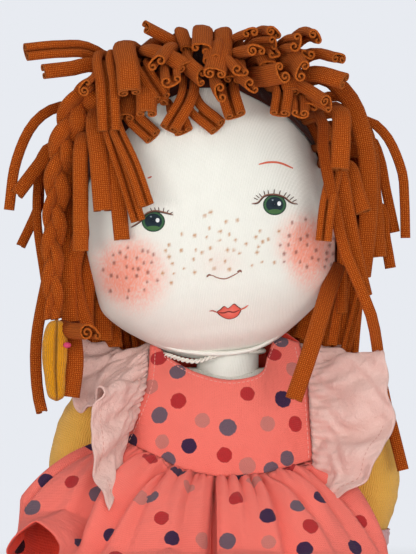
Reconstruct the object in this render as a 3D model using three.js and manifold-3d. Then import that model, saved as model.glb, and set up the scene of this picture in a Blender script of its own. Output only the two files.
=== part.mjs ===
// A seated rag doll, facing -Y, with +X at the viewer's right. Millimetres, +Z up, floor at z = 0.
// Jersey skins filled with fibre, thread joints at the shoulders and hips, a cotton dress with
// linen shoulder ruffles, and hair of curled jersey strips sewn to the head.
import * as THREE from "three";
import { mergeVertices } from "three/addons/utils/BufferGeometryUtils.js";
import Module from "manifold-3d";

const wasm = await Module();
wasm.setup();

// Cloth and clearances
const SKIN = 1.0; // jersey with its seam allowance
const DRESS_CLOTH = 1.3;
const GAP = 0.35; // between neighbouring pieces
const FLAT = 0.5; // how deep the stuffed forms are pressed flat by the floor

// Neck
const NECK_RADIUS = 13.6;
const NECK_WAIST_RADIUS = 12.8;
const NECK_X = 4;
const NECK_LOW_Z = 117;
const NECK_HIGH_Z = 125;
const CORD_RADIUS = 1.1;
const CORD_Z = 122.5;

// Head
const HEAD_WIDTH = 115;
const HEAD_HEIGHT = 138;
const HEAD_DEPTH = 95;
const HEAD_TILT = -8.4; // degrees about Y, the top leans to the viewer's left
const HEAD_YAW = 4; // degrees about Z, turned a little to the viewer's right
const HEAD_SINK = 0.5; // the chin lies this much below the top of the neck's straight part
const HEAD_CENTRE = new THREE.Vector3(-6.5, -2, NECK_HIGH_Z + HEAD_HEIGHT / 2 - HEAD_SINK);
const WEFT = 2.2; // thickness of the sewn edge of the hair strips
const HAIRLINE = 40; // above the middle of the head

// Torso
const TORSO_TOP = 118;
const TORSO_WIDTH = 92;
const TORSO_DEPTH = 68;
const VALLEY_RADIUS = 26;
const VALLEY_DEPTH = 6;
const WAIST_Z = 72;
const NECKLINE_RADIUS = 22;
const NECKLINE_Z = 135;
const ARMHOLE_RADIUS = 17;
const ARMHOLE_DROP = 6; // its middle, below the shoulder
const SEAT_Y = 16; // the middle of the flat face it sits on, behind the legs

// Legs
const LEG_X = 24;
const HIP_Y = -15;
const LEG_RADIUS = 20;
const HIP_Z = LEG_RADIUS * 0.92 - FLAT; // the form has flat sides, so it stands a little low
const LEG_LENGTH = 165;
const LEG_LIFT = 20; // degrees the leg can rise from the floor
const CROTCH_HALF = 3.6;
const HIP_THREAD_RADIUS = 1.0;

// Arms
const SHOULDER_Y = 4;
const SHOULDER_Z = 107;
const ARM_INNER_X = 42.4;
const ARM_RADIUS = 15;
const WRIST_Z = 44;
const SHOULDER_THREAD_RADIUS = 1.3;
const CUFF_HEIGHT = 5;

const cloth = (colour, roughness = 0.95) =>
  new THREE.MeshStandardMaterial({ color: colour, roughness, metalness: 0 });
const OFF_WHITE = cloth("#f1efe4");
const FIBRE = cloth("#f7f6f2");
const CORAL = cloth("#f4726a");
const PINK_LINEN = cloth("#e3b7ae");
const MUSTARD = cloth("#c9a03c");
const RUST = cloth("#b5501f");
const YELLOW_KNIT = cloth("#dda00f");
const THREAD = cloth("#f1ece0");
const KNOT_PINK = cloth("#d8507a");
const BUTTON = cloth("#d9c9a8", 0.5);

const doll = new THREE.Group();
const V = (x, y, z) => new THREE.Vector3(x, y, z);
const rad = THREE.MathUtils.degToRad;

// Solids and meshes

function solid(geometry) {
  const bare = geometry.clone();
  bare.deleteAttribute("normal");
  bare.deleteAttribute("uv");
  const merged = mergeVertices(bare, 1e-4);
  const made = new wasm.Manifold(
    new wasm.Mesh({
      numProp: 3,
      vertProperties: new Float32Array(merged.attributes.position.array),
      triVerts: new Uint32Array(merged.index.array),
    }),
  );
  return made;
}

function biggest(shape) {
  const bodies = shape.decompose();
  return bodies.reduce((a, b) => (b.volume() > a.volume() ? b : a));
}

function add(name, shape, material) {
  const m = biggest(shape).getMesh();
  const geometry = new THREE.BufferGeometry();
  const at = new Float32Array(m.numVert * 3);
  for (let i = 0; i < m.numVert; i++) {
    at.set(m.vertProperties.subarray(i * m.numProp, i * m.numProp + 3), i * 3);
  }
  geometry.setAttribute("position", new THREE.BufferAttribute(at, 3));
  geometry.setIndex(new THREE.BufferAttribute(new Uint32Array(m.triVerts), 1));
  geometry.computeVertexNormals();
  const mesh = new THREE.Mesh(geometry, material);
  mesh.name = name;
  doll.add(mesh);
  return shape;
}

// A closed skin over rings of points, each ring the same length, with a fan on each end.
function loft(rings) {
  const n = rings[0].length;
  const points = rings.flat();
  const faces = [];
  for (let i = 0; i + 1 < rings.length; i++) {
    for (let j = 0; j < n; j++) {
      const a = i * n + j;
      const b = i * n + ((j + 1) % n);
      faces.push(a, b, b + n, a, b + n, a + n);
    }
  }
  for (const [row, turn] of [[0, 1], [rings.length - 1, 0]]) {
    const middle = new THREE.Vector3();
    rings[row].forEach((p) => middle.addScaledVector(p, 1 / n));
    const c = points.push(middle) - 1;
    for (let j = 0; j < n; j++) {
      const a = row * n + j;
      const b = row * n + ((j + 1) % n);
      faces.push(...(turn ? [c, b, a] : [c, a, b]));
    }
  }
  const geometry = new THREE.BufferGeometry().setFromPoints(points);
  geometry.setIndex(faces);
  const made = solid(geometry);
  if (made.volume() > 0) return made;
  for (let i = 0; i < faces.length; i += 3) {
    [faces[i + 1], faces[i + 2]] = [faces[i + 2], faces[i + 1]];
  }
  geometry.setIndex(faces);
  return solid(geometry);
}

function box(min, max) {
  const size = max.clone().sub(min);
  const middle = min.clone().add(max).multiplyScalar(0.5);
  return solid(new THREE.BoxGeometry(size.x, size.y, size.z).translate(middle.x, middle.y, middle.z));
}

const ball = (centre, radius, sides = 14) =>
  solid(new THREE.SphereGeometry(radius, sides, sides / 2).translate(centre.x, centre.y, centre.z));

function bar(a, b, radius, sides = 8) {
  const length = a.distanceTo(b);
  const geometry = new THREE.CylinderGeometry(radius, radius, length, sides);
  const turn = new THREE.Quaternion().setFromUnitVectors(V(0, 1, 0), b.clone().sub(a).normalize());
  const middle = a.clone().add(b).multiplyScalar(0.5);
  geometry.applyQuaternion(turn).translate(middle.x, middle.y, middle.z);
  return solid(geometry);
}

// Half spaces, as large boxes.
const FAR = 400;
const above = (z) => box(V(-FAR, -FAR, z), V(FAR, FAR, FAR));
const below = (z) => box(V(-FAR, -FAR, -FAR), V(FAR, FAR, z));

// A rounded section: half width, depth to the front and to the back, squarer than an ellipse.
function section(centre, width, front, back, sides, power = 2.2) {
  const ring = [];
  for (let j = 0; j < sides; j++) {
    const angle = (2 * Math.PI * j) / sides;
    const c = Math.cos(angle);
    const s = Math.sin(angle);
    const soft = (v) => Math.sign(v) * Math.abs(v) ** (2 / power);
    ring.push(V(centre.x + width * soft(c), centre.y + (s < 0 ? front : back) * soft(s), centre.z));
  }
  return ring;
}

// A stuffed limb: rings square to a smooth path, each with its own radius, and small ends.
function limb(stations, grow, sides, across) {
  const path = new THREE.CatmullRomCurve3(stations.map(([p]) => p));
  const last = stations.length - 1;
  const rings = stations.map(([, r], i) => {
    const centre = path.getPoint(i / last);
    const ahead = path.getTangent(i / last);
    const side = across.clone().cross(ahead).normalize();
    const up = ahead.clone().cross(side);
    const tip = i === 0 ? -1 : i === last ? 1 : 0;
    centre.addScaledVector(ahead, tip * grow);
    const radius = Math.max(r + grow, 0.8);
    return Array.from({ length: sides }, (_, j) => {
      const angle = (2 * Math.PI * (j + 0.5)) / sides;
      return centre
        .clone()
        .addScaledVector(side, radius * Math.cos(angle))
        .addScaledVector(up, radius * Math.sin(angle));
    });
  });
  return loft(rings);
}

// Head: widest at the cheeks, with a squared jaw whose corners are the ends of the chin seam.
// Each row is height, width and depth as shares of the half sizes.
const HEAD_ROWS = [
  [-1.0, 0.16, 0.12],
  [-0.97, 0.33, 0.3],
  [-0.88, 0.55, 0.55],
  [-0.79, 0.72, 0.68],
  [-0.68, 0.87, 0.8],
  [-0.55, 0.95, 0.89],
  [-0.22, 1.0, 1.0],
  [0.08, 0.95, 1.0],
  [0.34, 0.85, 0.96],
  [0.58, 0.7, 0.83],
  [0.78, 0.5, 0.65],
  [0.93, 0.27, 0.38],
  [0.99, 0.08, 0.1],
];
const headPlace = new THREE.Matrix4()
  .makeTranslation(HEAD_CENTRE.x, HEAD_CENTRE.y, HEAD_CENTRE.z)
  .multiply(new THREE.Matrix4().makeRotationY(rad(HEAD_TILT)))
  .multiply(new THREE.Matrix4().makeRotationZ(rad(HEAD_YAW)));
const onHead = (shape) => shape.transform(headPlace.elements);

const NECK_LOW = V(NECK_X, 0, NECK_LOW_Z);
const NECK_HIGH = V(NECK_X, 0, NECK_HIGH_Z);

function headForm(grow, fine = true) {
  const rows = HEAD_ROWS.filter((row, i) => fine || i % 2 === 0);
  const rings = rows.map(([h, w, d]) => {
    const depth = (d * HEAD_DEPTH) / 2 + grow;
    const up = (h * HEAD_HEIGHT) / 2 + h * grow;
    return section(V(0, 0, up), (w * HEAD_WIDTH) / 2 + grow, depth, depth, fine ? 16 : 12);
  });
  return loft(rings);
}
const neckSocket = (inset) => ball(NECK_HIGH, NECK_RADIUS + 2 * GAP + inset);
const headSolid = (inset) => onHead(headForm(-inset, inset === 0)).subtract(neckSocket(inset));

const headSkin = headSolid(0).subtract(headSolid(SKIN));
const seam = GAP / 2;
const frontHalf = onHead(box(V(-FAR, -FAR, -FAR), V(FAR, -seam, FAR)));
const backHalf = onHead(box(V(-FAR, seam, -FAR), V(FAR, FAR, FAR)));
add("face_panel", headSkin.intersect(frontHalf), OFF_WHITE);
add("head_back_panel", headSkin.intersect(backHalf), OFF_WHITE);
add("head_stuffing", headSolid(SKIN + GAP), FIBRE);

// Neck: a short stuffed stub, round at both ends so that the head rolls on it.
function neckForm(grow) {
  const rows = [];
  const radius = NECK_RADIUS + grow;
  const span = NECK_HIGH_Z - NECK_LOW_Z;
  for (const a of [-85, -55, -20]) {
    rows.push([NECK_LOW_Z + radius * Math.sin(rad(a)), radius * Math.cos(rad(a))]);
  }
  rows.push([NECK_LOW_Z + span / 2, NECK_WAIST_RADIUS + grow]);
  for (const a of [20, 55, 85]) {
    rows.push([NECK_HIGH_Z + radius * Math.sin(rad(a)), radius * Math.cos(rad(a))]);
  }
  return loft(rows.map(([z, r]) => section(V(NECK_X, 0, z), r, r, r, 12, 2)));
}
const neckHollow = neckForm(-SKIN).add(
  bar(V(NECK_X, 0, NECK_LOW_Z - FAR / 4), V(NECK_X, 0, NECK_LOW_Z), NECK_RADIUS / 3),
);
add("neck_skin", neckForm(0).subtract(neckHollow), OFF_WHITE);
add("neck_stuffing", neckForm(-SKIN - GAP), FIBRE);

// The cord lies loose enough to tip with the head.
const CORD_SLACK = 2.5 * GAP;
const CORD_RING = NECK_WAIST_RADIUS + CORD_SLACK + CORD_RADIUS;
const cordRing = new THREE.TorusGeometry(CORD_RING, CORD_RADIUS, 5, 20);
add("neck_cord", solid(cordRing.translate(NECK_X, 0, CORD_Z)), THREAD);

// Torso: pear-shaped, with a hollow under the neck and the hips cut clear for the legs to swing.
const TORSO_ROWS = [
  [-0.005, 0.86, 0.84],
  [0.05, 0.95, 0.95],
  [0.2, 1.0, 1.0],
  [0.42, 0.95, 0.94],
  [0.62, 0.89, 0.87],
  [0.8, 0.83, 0.76],
  [0.91, 0.78, 0.62],
  [0.97, 0.68, 0.46],
  [1.0, 0.52, 0.24],
];
function torsoForm(grow, fine = true) {
  const rows = TORSO_ROWS.filter((row, i) => fine || i % 2 === 0);
  return loft(
    rows.map(([h, w, d]) => {
      const lift = h > 0.9 ? grow : 0;
      const depth = (d * TORSO_DEPTH) / 2 + grow;
      const half = (w * TORSO_WIDTH) / 2 + grow;
      return section(V(0, 0, h * TORSO_TOP + lift), half, depth, depth, fine ? 16 : 10);
    }),
  );
}

// The space that one leg sweeps between hanging straight down and lifted off the floor.
function legSweep(side, grow) {
  const reach = LEG_RADIUS + GAP + grow;
  const shape = new THREE.Shape();
  const end = rad(90 + LEG_LIFT);
  shape.moveTo(HIP_Y + reach, -FAR);
  shape.lineTo(HIP_Y + reach, HIP_Z);
  shape.absarc(HIP_Y, HIP_Z, reach, 0, end - rad(2 * LEG_LIFT), false);
  const topY = HIP_Y + reach * Math.sin(rad(LEG_LIFT));
  const topZ = HIP_Z + reach * Math.cos(rad(LEG_LIFT));
  shape.lineTo(topY - FAR * Math.cos(rad(LEG_LIFT)), topZ + FAR * Math.sin(rad(LEG_LIFT)));
  shape.lineTo(-FAR, -FAR);
  const geometry = new THREE.ExtrudeGeometry(shape, { depth: FAR, bevelEnabled: false, curveSegments: 5 });
  // the shape's x and y become the doll's y and z, and the extrusion runs along x
  geometry.applyMatrix4(new THREE.Matrix4().makeBasis(V(0, 1, 0), V(0, 0, 1), V(1, 0, 0)));
  const start = CROTCH_HALF - grow;
  geometry.translate(side > 0 ? start : -start - FAR, 0, 0);
  return solid(geometry);
}
const hipHole = (radius) => bar(V(-FAR, HIP_Y, HIP_Z), V(FAR, HIP_Y, HIP_Z), radius);
const shoulderHole = (radius) => bar(V(-FAR, SHOULDER_Y, SHOULDER_Z), V(FAR, SHOULDER_Y, SHOULDER_Z), radius);
const valley = (inset) =>
  ball(V(NECK_X, 0, TORSO_TOP - VALLEY_DEPTH + VALLEY_RADIUS), VALLEY_RADIUS + inset, 16);

function torsoSolid(inset) {
  return torsoForm(-inset, inset === 0)
    .intersect(above(inset))
    .subtract(legSweep(1, inset))
    .subtract(legSweep(-1, inset))
    .subtract(valley(inset))
    .subtract(ball(NECK_LOW, NECK_RADIUS + 2 * GAP + inset));
}
const torsoHoles = hipHole(HIP_THREAD_RADIUS + GAP).add(shoulderHole(SHOULDER_THREAD_RADIUS + GAP));
const torsoSkin = torsoSolid(0).subtract(torsoSolid(SKIN)).subtract(torsoHoles);
add("torso_front_panel", torsoSkin.intersect(box(V(-FAR, -FAR, -FAR), V(FAR, -seam, FAR))), OFF_WHITE);
add("torso_back_panel", torsoSkin.intersect(box(V(-FAR, seam, -FAR), V(FAR, FAR, FAR))), OFF_WHITE);
add("torso_stuffing", torsoSolid(SKIN + GAP).subtract(torsoHoles), FIBRE);

// Legs: each lies forward on the floor, tapers to the ankle, and its foot points up.
function legStations(side) {
  const x = side * LEG_X;
  const at = (share) => HIP_Y - share * LEG_LENGTH;
  return [
    [V(x, HIP_Y + LEG_RADIUS * 0.97, HIP_Z), 2],
    [V(x, HIP_Y + LEG_RADIUS * 0.72, HIP_Z), LEG_RADIUS * 0.68],
    [V(x, HIP_Y, HIP_Z), LEG_RADIUS * 0.97],
    [V(x, at(0.28), HIP_Z), LEG_RADIUS * 0.96],
    [V(x, at(0.6), HIP_Z - 3), LEG_RADIUS * 0.8],
    [V(x, at(0.88), HIP_Z - 6), LEG_RADIUS * 0.65],
    [V(x, at(1.0), HIP_Z - 2), LEG_RADIUS * 0.66],
    [V(x, at(1.04), HIP_Z + 14), LEG_RADIUS * 0.62],
    [V(x, at(1.03), HIP_Z + 27), LEG_RADIUS * 0.45],
    [V(x, at(1.03), HIP_Z + 31), 2],
  ];
}
for (const [side, label] of [[-1, "left"], [1, "right"]]) {
  const form = (grow, sides) => limb(legStations(side), grow, sides, V(1, 0, 0));
  const outer = form(0, 10);
  const inner = form(-SKIN, 8).intersect(above(SKIN));
  const filling = form(-SKIN - GAP, 8).intersect(above(SKIN + GAP));
  const hole = hipHole(HIP_THREAD_RADIUS + GAP);
  add("leg_skin_" + label, outer.intersect(above(0)).subtract(inner).subtract(hole), OFF_WHITE);
  add("leg_stuffing_" + label, filling.subtract(hole), FIBRE);
}
const KNOT = 1.6;
const knotRight = V(LEG_X + LEG_RADIUS + GAP + KNOT, HIP_Y, HIP_Z);
const knotLeft = V(-knotRight.x, HIP_Y, HIP_Z);
const hipThread = bar(knotLeft, knotRight, HIP_THREAD_RADIUS)
  .add(ball(knotRight, KNOT, 8))
  .add(ball(knotLeft, KNOT, 8));
add("hip_thread", hipThread, THREAD);

// Arms: a sleeve of rib jersey that hangs beside the body, with a jersey hand at its end.
function armStations(side) {
  return [
    [V(side * (ARM_INNER_X - 4), SHOULDER_Y, SHOULDER_Z + 1), ARM_RADIUS * 0.35],
    [V(side * (ARM_INNER_X + 3), SHOULDER_Y, SHOULDER_Z), ARM_RADIUS * 0.7],
    [V(side * (ARM_INNER_X + 12), SHOULDER_Y, SHOULDER_Z - 6), ARM_RADIUS * 0.88],
    [V(side * (ARM_INNER_X + 20), SHOULDER_Y, SHOULDER_Z - 20), ARM_RADIUS],
    [V(side * (ARM_INNER_X + 23), SHOULDER_Y, SHOULDER_Z - 40), ARM_RADIUS * 0.97],
    [V(side * (ARM_INNER_X + 21), SHOULDER_Y - 2, WRIST_Z), ARM_RADIUS * 0.74],
    [V(side * (ARM_INNER_X + 18), SHOULDER_Y - 4, WRIST_Z - 12), ARM_RADIUS * 0.78],
    [V(side * (ARM_INNER_X + 15), SHOULDER_Y - 6, WRIST_Z - 24), ARM_RADIUS * 0.6],
    [V(side * (ARM_INNER_X + 14), SHOULDER_Y - 6.5, WRIST_Z - 29), ARM_RADIUS * 0.2],
  ];
}
const beyond = (side, x) =>
  side > 0 ? box(V(x, -FAR, -FAR), V(FAR, FAR, FAR)) : box(V(-FAR, -FAR, -FAR), V(-x, FAR, FAR));
for (const [side, label] of [[-1, "left"], [1, "right"]]) {
  const form = (grow, sides = 12) => limb(armStations(side), grow, sides, V(0, 1, 0));
  const sleeve = beyond(side, ARM_INNER_X).intersect(above(WRIST_Z + GAP / 2));
  add("sleeve_" + label, form(0).subtract(form(-SKIN, 8)).intersect(sleeve), MUSTARD);
  add("arm_stuffing_" + label, form(-SKIN - GAP, 8).intersect(sleeve), FIBRE);
  add("hand_" + label, form(0).intersect(below(WRIST_Z - GAP / 2)), OFF_WHITE);
  const band = above(WRIST_Z - CUFF_HEIGHT / 2).intersect(below(WRIST_Z + CUFF_HEIGHT / 2));
  const cuff = form(2 * GAP + DRESS_CLOTH, 12).subtract(form(GAP, 12)).intersect(band);
  add("cuff_" + label, cuff, PINK_LINEN);
  const inside = V(side * (ARM_INNER_X - 12), SHOULDER_Y, SHOULDER_Z);
  const end = V(side * (ARM_INNER_X - GAP), SHOULDER_Y, SHOULDER_Z);
  add("shoulder_thread_" + label, bar(inside, end, SHOULDER_THREAD_RADIUS), THREAD);
}

// Bodice: two panels over the torso, with a scooped neckline and open armholes.
const BODICE_LIFT = GAP;
const armholeZ = SHOULDER_Z - ARMHOLE_DROP;
const bodiceShell = torsoForm(BODICE_LIFT + DRESS_CLOTH)
  .subtract(torsoForm(BODICE_LIFT))
  .subtract(neckForm(GAP))
  .intersect(above(WAIST_Z))
  .subtract(bar(V(NECK_X, -FAR, NECKLINE_Z), V(NECK_X, FAR, NECKLINE_Z), NECKLINE_RADIUS, 24))
  .subtract(bar(V(-FAR, SHOULDER_Y, armholeZ), V(FAR, SHOULDER_Y, armholeZ), ARMHOLE_RADIUS, 16));
add("bodice_front", bodiceShell.intersect(box(V(-FAR, -FAR, -FAR), V(FAR, SHOULDER_Y - seam, FAR))), CORAL);
add("bodice_back", bodiceShell.intersect(box(V(-FAR, SHOULDER_Y + seam, -FAR), V(FAR, FAR, FAR))), CORAL);

// The torso's half width and half depth at a height, read from its rows.
function torsoAt(z) {
  const h = z / TORSO_TOP;
  const i = Math.max(1, TORSO_ROWS.findIndex((row) => row[0] >= h));
  const [h0, w0, d0] = TORSO_ROWS[i - 1];
  const [h1, w1, d1] = TORSO_ROWS[i];
  const t = (h - h0) / (h1 - h0);
  return {
    width: ((w0 + (w1 - w0) * t) * TORSO_WIDTH) / 2,
    depth: ((d0 + (d1 - d0) * t) * TORSO_DEPTH) / 2,
  };
}

// Two buttons close the bodice at the back.
const BUTTON_RADIUS = 5;
const BUTTON_THICK = 2.4;
for (const [name, z] of [["button_upper", 103], ["button_lower", 86]]) {
  const back = torsoAt(z).depth + BODICE_LIFT + DRESS_CLOTH;
  const disc = bar(V(0, back - BUTTON_THICK, z), V(0, back + BUTTON_THICK, z), BUTTON_RADIUS, 16);
  add(name, disc.subtract(torsoForm(BODICE_LIFT + DRESS_CLOTH + GAP)), BUTTON);
}

// Cloth: a grid of points given a thickness. A closed cloth runs round, its last column next to its first.
function clothSolid(grid, thickness, closed) {
  const rows = grid.length;
  const columns = grid[0].length;
  const wrap = (j) => (closed ? (j + columns) % columns : Math.min(Math.max(j, 0), columns - 1));
  const points = [];
  for (const face of [0.5, -0.5]) {
    for (let i = 0; i < rows; i++) {
      for (let j = 0; j < columns; j++) {
        const down = grid[Math.min(i + 1, rows - 1)][j].clone().sub(grid[Math.max(i - 1, 0)][j]);
        const along = grid[i][wrap(j + 1)].clone().sub(grid[i][wrap(j - 1)]);
        const normal = down.cross(along).normalize();
        points.push(grid[i][j].clone().addScaledVector(normal, face * thickness));
      }
    }
  }
  const layer = rows * columns;
  const faces = [];
  const quad = (a, b, c, d) => faces.push(a, b, c, a, c, d);
  const spans = closed ? columns : columns - 1;
  for (let j = 0; j < spans; j++) {
    const k = wrap(j + 1);
    for (let i = 0; i + 1 < rows; i++) {
      const [a, b, c, d] = [i * columns + j, i * columns + k, (i + 1) * columns + k, (i + 1) * columns + j];
      quad(a, d, c, b);
      quad(layer + a, layer + b, layer + c, layer + d);
    }
    const end = (rows - 1) * columns;
    quad(j, k, layer + k, layer + j);
    quad(end + j, layer + end + j, layer + end + k, end + k);
  }
  if (!closed) {
    for (let i = 0; i + 1 < rows; i++) {
      const a = i * columns;
      const b = a + columns;
      quad(a, layer + a, layer + b, b);
      quad(a + columns - 1, b + columns - 1, layer + b + columns - 1, layer + a + columns - 1);
    }
  }
  const geometry = new THREE.BufferGeometry().setFromPoints(points);
  geometry.setIndex(faces);
  const made = solid(geometry);
  if (made.volume() > 0) return made;
  for (let i = 0; i < faces.length; i += 3) {
    [faces[i + 1], faces[i + 2]] = [faces[i + 2], faces[i + 1]];
  }
  geometry.setIndex(faces);
  return solid(geometry);
}

// Skirt: gathered into the waist, it stands out, falls in folds to the lap and then lies over the
// thighs. It has a deep pleat in the middle of its front, is pressed in under the arms, and its
// left corner is lifted like a wing.
const SKIRT_THICK = 1.3;
const SKIRT_FALL_ROWS = 5;
const SKIRT_LAP_ROWS = 4;
const SKIRT_COLUMNS = 52;
const SKIRT_FOLDS = 13;
const SKIRT_FOLD_DEPTH = 2;
const SKIRT_PLEAT_DEPTH = 6;
const SKIRT_POWER = 2.2; // how square the waist is
// Where the cloth bends, as shares of its way out and of its way down: above the fall and on the lap.
const SKIRT_PUFF = [0.6, 0.08];
const SKIRT_LAY = [0.15, 0.6];
// Points where the fall ends and on the hem, from the middle of the front round by the doll's left.
const SKIRT_FALL = [
  [-3, -63, 42], [13, -68, 42], [29, -70, 42], [47, -64, 41], [61, -54, 41], [72, -42, 42],
  [72, -30, 40], [58, -20, 44], [46.8, -5, 46], [47, 18, 44], [42, 38, 42], [22, 48, 44],
  [0, 50, 44], [-22, 48, 44], [-42, 39, 42], [-46.5, 18, 44], [-46.8, -4, 50], [-56, -15, 60],
  [-72, -20, 66], [-83, -29, 58], [-80, -39, 56], [-66, -42, 56], [-56, -45, 52], [-59, -60, 46],
  [-42, -67, 42], [-20, -69, 42],
];
const SKIRT_HEM = [
  [-3, -106, 33], [13, -114, 35], [30, -116, 35], [56, -104, 27], [78, -84, 20], [88, -56, 14],
  [85, -34, 6], [66, -23, 4], [47.5, -6, 5], [50, 24, 3], [50, 58, 3], [25, 70, 3],
  [0, 66, 3], [-25, 70, 3], [-50, 60, 3], [-50, 26, 3], [-47, -6, 5], [-62, -18, 5],
  [-84, -24, 8], [-95, -38, 30], [-92, -52, 45], [-80, -60, 52], [-70, -64, 44], [-71, -84, 30],
  [-48, -108, 33], [-24, -115, 35],
];
const clamp = (v) => THREE.MathUtils.clamp(v, 0, 1);

// From start to end by way of a corner, a share of the way out and a share of the way down.
function bent(start, end, [out, sag], t) {
  const corner = end.clone().sub(start).multiply(V(out, out, sag)).add(start);
  return start
    .clone()
    .multiplyScalar((1 - t) ** 2)
    .addScaledVector(corner, 2 * t * (1 - t))
    .addScaledVector(end, t * t);
}

function skirtGrid() {
  const ring = (list) => new THREE.CatmullRomCurve3(list, true, "catmullrom", 0.5);
  const height = WAIST_Z - GAP - SKIRT_THICK;
  const waist = torsoAt(height);
  const stand = 2 * GAP + SKIRT_THICK / 2;
  // straight in from a point of the fall to the waist
  const inwards = ([x, y]) => {
    const across = Math.abs(x / (waist.width + stand)) ** SKIRT_POWER;
    const deep = Math.abs(y / (waist.depth + stand)) ** SKIRT_POWER;
    const share = (across + deep) ** (-1 / SKIRT_POWER);
    return V(x * share, y * share, height);
  };
  const top = ring(SKIRT_FALL.map(inwards));
  const fall = ring(SKIRT_FALL.map(([x, y, z]) => V(x, y, z)));
  const hem = ring(SKIRT_HEM.map(([x, y, z]) => V(x, y, z)));
  const grid = [];
  for (let i = 0; i <= SKIRT_FALL_ROWS + SKIRT_LAP_ROWS; i++) {
    const upper = clamp(i / SKIRT_FALL_ROWS);
    const lower = clamp((i - SKIRT_FALL_ROWS) / SKIRT_LAP_ROWS);
    const row = [];
    for (let j = 0; j < SKIRT_COLUMNS; j++) {
      const u = j / SKIRT_COLUMNS;
      const turn = 2 * Math.PI * u;
      const f = fall.getPoint(u);
      const onLap = bent(f, hem.getPoint(u), SKIRT_LAY, lower);
      const p = lower > 0 ? onLap : bent(top.getPoint(u), f, SKIRT_PUFF, upper);
      const depth = j === 0 ? -SKIRT_PLEAT_DEPTH : -Math.cos(SKIRT_FOLDS * turn) * SKIRT_FOLD_DEPTH;
      const out = V(f.x, f.y, 0).normalize();
      // the folds start below the waist and die away where the cloth is pressed in under the arms
      const free = clamp(upper * 2) * clamp(Math.abs(out.y) * 1.6 - 0.3) * (1 - lower / 2);
      row.push(p.addScaledVector(out.setZ((1 + lower) / 2), depth * free));
    }
    grid.push(row);
  }
  return grid;
}
add("skirt", clothSolid(skirtGrid(), SKIRT_THICK, true), CORAL);

// Ruffles: a linen flutter over each shoulder, narrow at the waist and wide at the top.
const RUFFLE_THICK = 1.2;
const RUFFLE_ROWS = 4;
const RUFFLE_COLUMNS = 28;
const RUFFLE_WAVES = 7;
const RUFFLE_DEPTH = 2.4;
const RUFFLE_ARCH = 2;
// From the front of the waist over the shoulder to the back of the waist, close round the armhole.
const RUFFLE_SEAM = [
  [37.4, -17.6, 77], [36.8, -15.6, 88], [35.6, -13.8, 101], [31.5, -10.6, 114], [30, -2, 119],
  [31.9, 8.6, 115.8], [30.8, 16.8, 104], [35, 18.6, 84],
];
const RUFFLE_RIGHT = [
  [51, -36, 68], [60, -42, 72], [69, -43, 79], [75, -39, 90], [75, -36, 104], [73.6, -33, 117],
  [72, -27, 128], [66, -8, 127], [58, 8, 126], [53, 24, 112], [48, 27, 84],
];
const RUFFLE_LEFT = [
  [49.5, -54, 64], [54, -48, 76], [57, -44, 91], [52, -43, 108], [62, -22, 100], [66, -14, 113],
  [64, -2, 128], [60, 12, 128], [55, 24, 113], [48, 26, 92],
];
for (const [side, label, edge] of [[-1, "left", RUFFLE_LEFT], [1, "right", RUFFLE_RIGHT]]) {
  const curve = (list) => new THREE.CatmullRomCurve3(list.map(([x, y, z]) => V(side * x, y, z)));
  const seamCurve = curve(RUFFLE_SEAM);
  const edgeCurve = curve(edge);
  const grid = [];
  for (let i = 0; i <= RUFFLE_ROWS; i++) {
    const t = i / RUFFLE_ROWS;
    const row = [];
    for (let j = 0; j <= RUFFLE_COLUMNS; j++) {
      const u = j / RUFFLE_COLUMNS;
      const wave = Math.sin(u * 2 * Math.PI * RUFFLE_WAVES) * RUFFLE_DEPTH * t;
      const arch = RUFFLE_ARCH * Math.sin(t * Math.PI);
      // out of the cloth: to the front where it hangs before the arm, up over the shoulder, then back
      const out = V(0, -Math.cos(Math.PI * u), Math.sin(Math.PI * u));
      const p = seamCurve.getPoint(u).lerp(edgeCurve.getPoint(u), t);
      row.push(p.addScaledVector(out, wave + arch));
    }
    grid.push(row);
  }
  const clear = torsoForm(BODICE_LIFT + DRESS_CLOTH + GAP);
  add("ruffle_" + label, clothSolid(grid, RUFFLE_THICK, false).subtract(clear), PINK_LINEN);
}

// Hair: strips of jersey whose cut edges curl in, sewn to the head along a weft. The routes are the
// strips' own, chosen by eye. A strip is its width and then its points, and starts at the scalp.
const HAIR_LIFT = GAP;
const STRIP_SIDES = 4;
const scalpClear = onHead(headForm(HAIR_LIFT));
const scalpLayer = onHead(headForm(HAIR_LIFT + WEFT)).subtract(scalpClear);
const headBox = (min, max) => onHead(box(min, max));
const WEFT_FRONT = -14; // how far forward the wefts beside the face reach, from the side seam
const WEFT_BACK = 12;
const WEFT_LOW = -30;
const WEFTS = {
  hair_fringe: headBox(V(-FAR, -FAR, HAIRLINE), V(FAR, WEFT_BACK, FAR)),
  hair_left: headBox(V(-FAR, WEFT_FRONT, WEFT_LOW), V(0, WEFT_BACK, HAIRLINE - GAP)),
  hair_right: headBox(V(0, WEFT_FRONT, WEFT_LOW), V(FAR, WEFT_BACK, HAIRLINE - GAP)),
  hair_back: headBox(V(-FAR, WEFT_BACK + GAP, WEFT_LOW - 12), V(FAR, FAR, FAR)),
};

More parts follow.
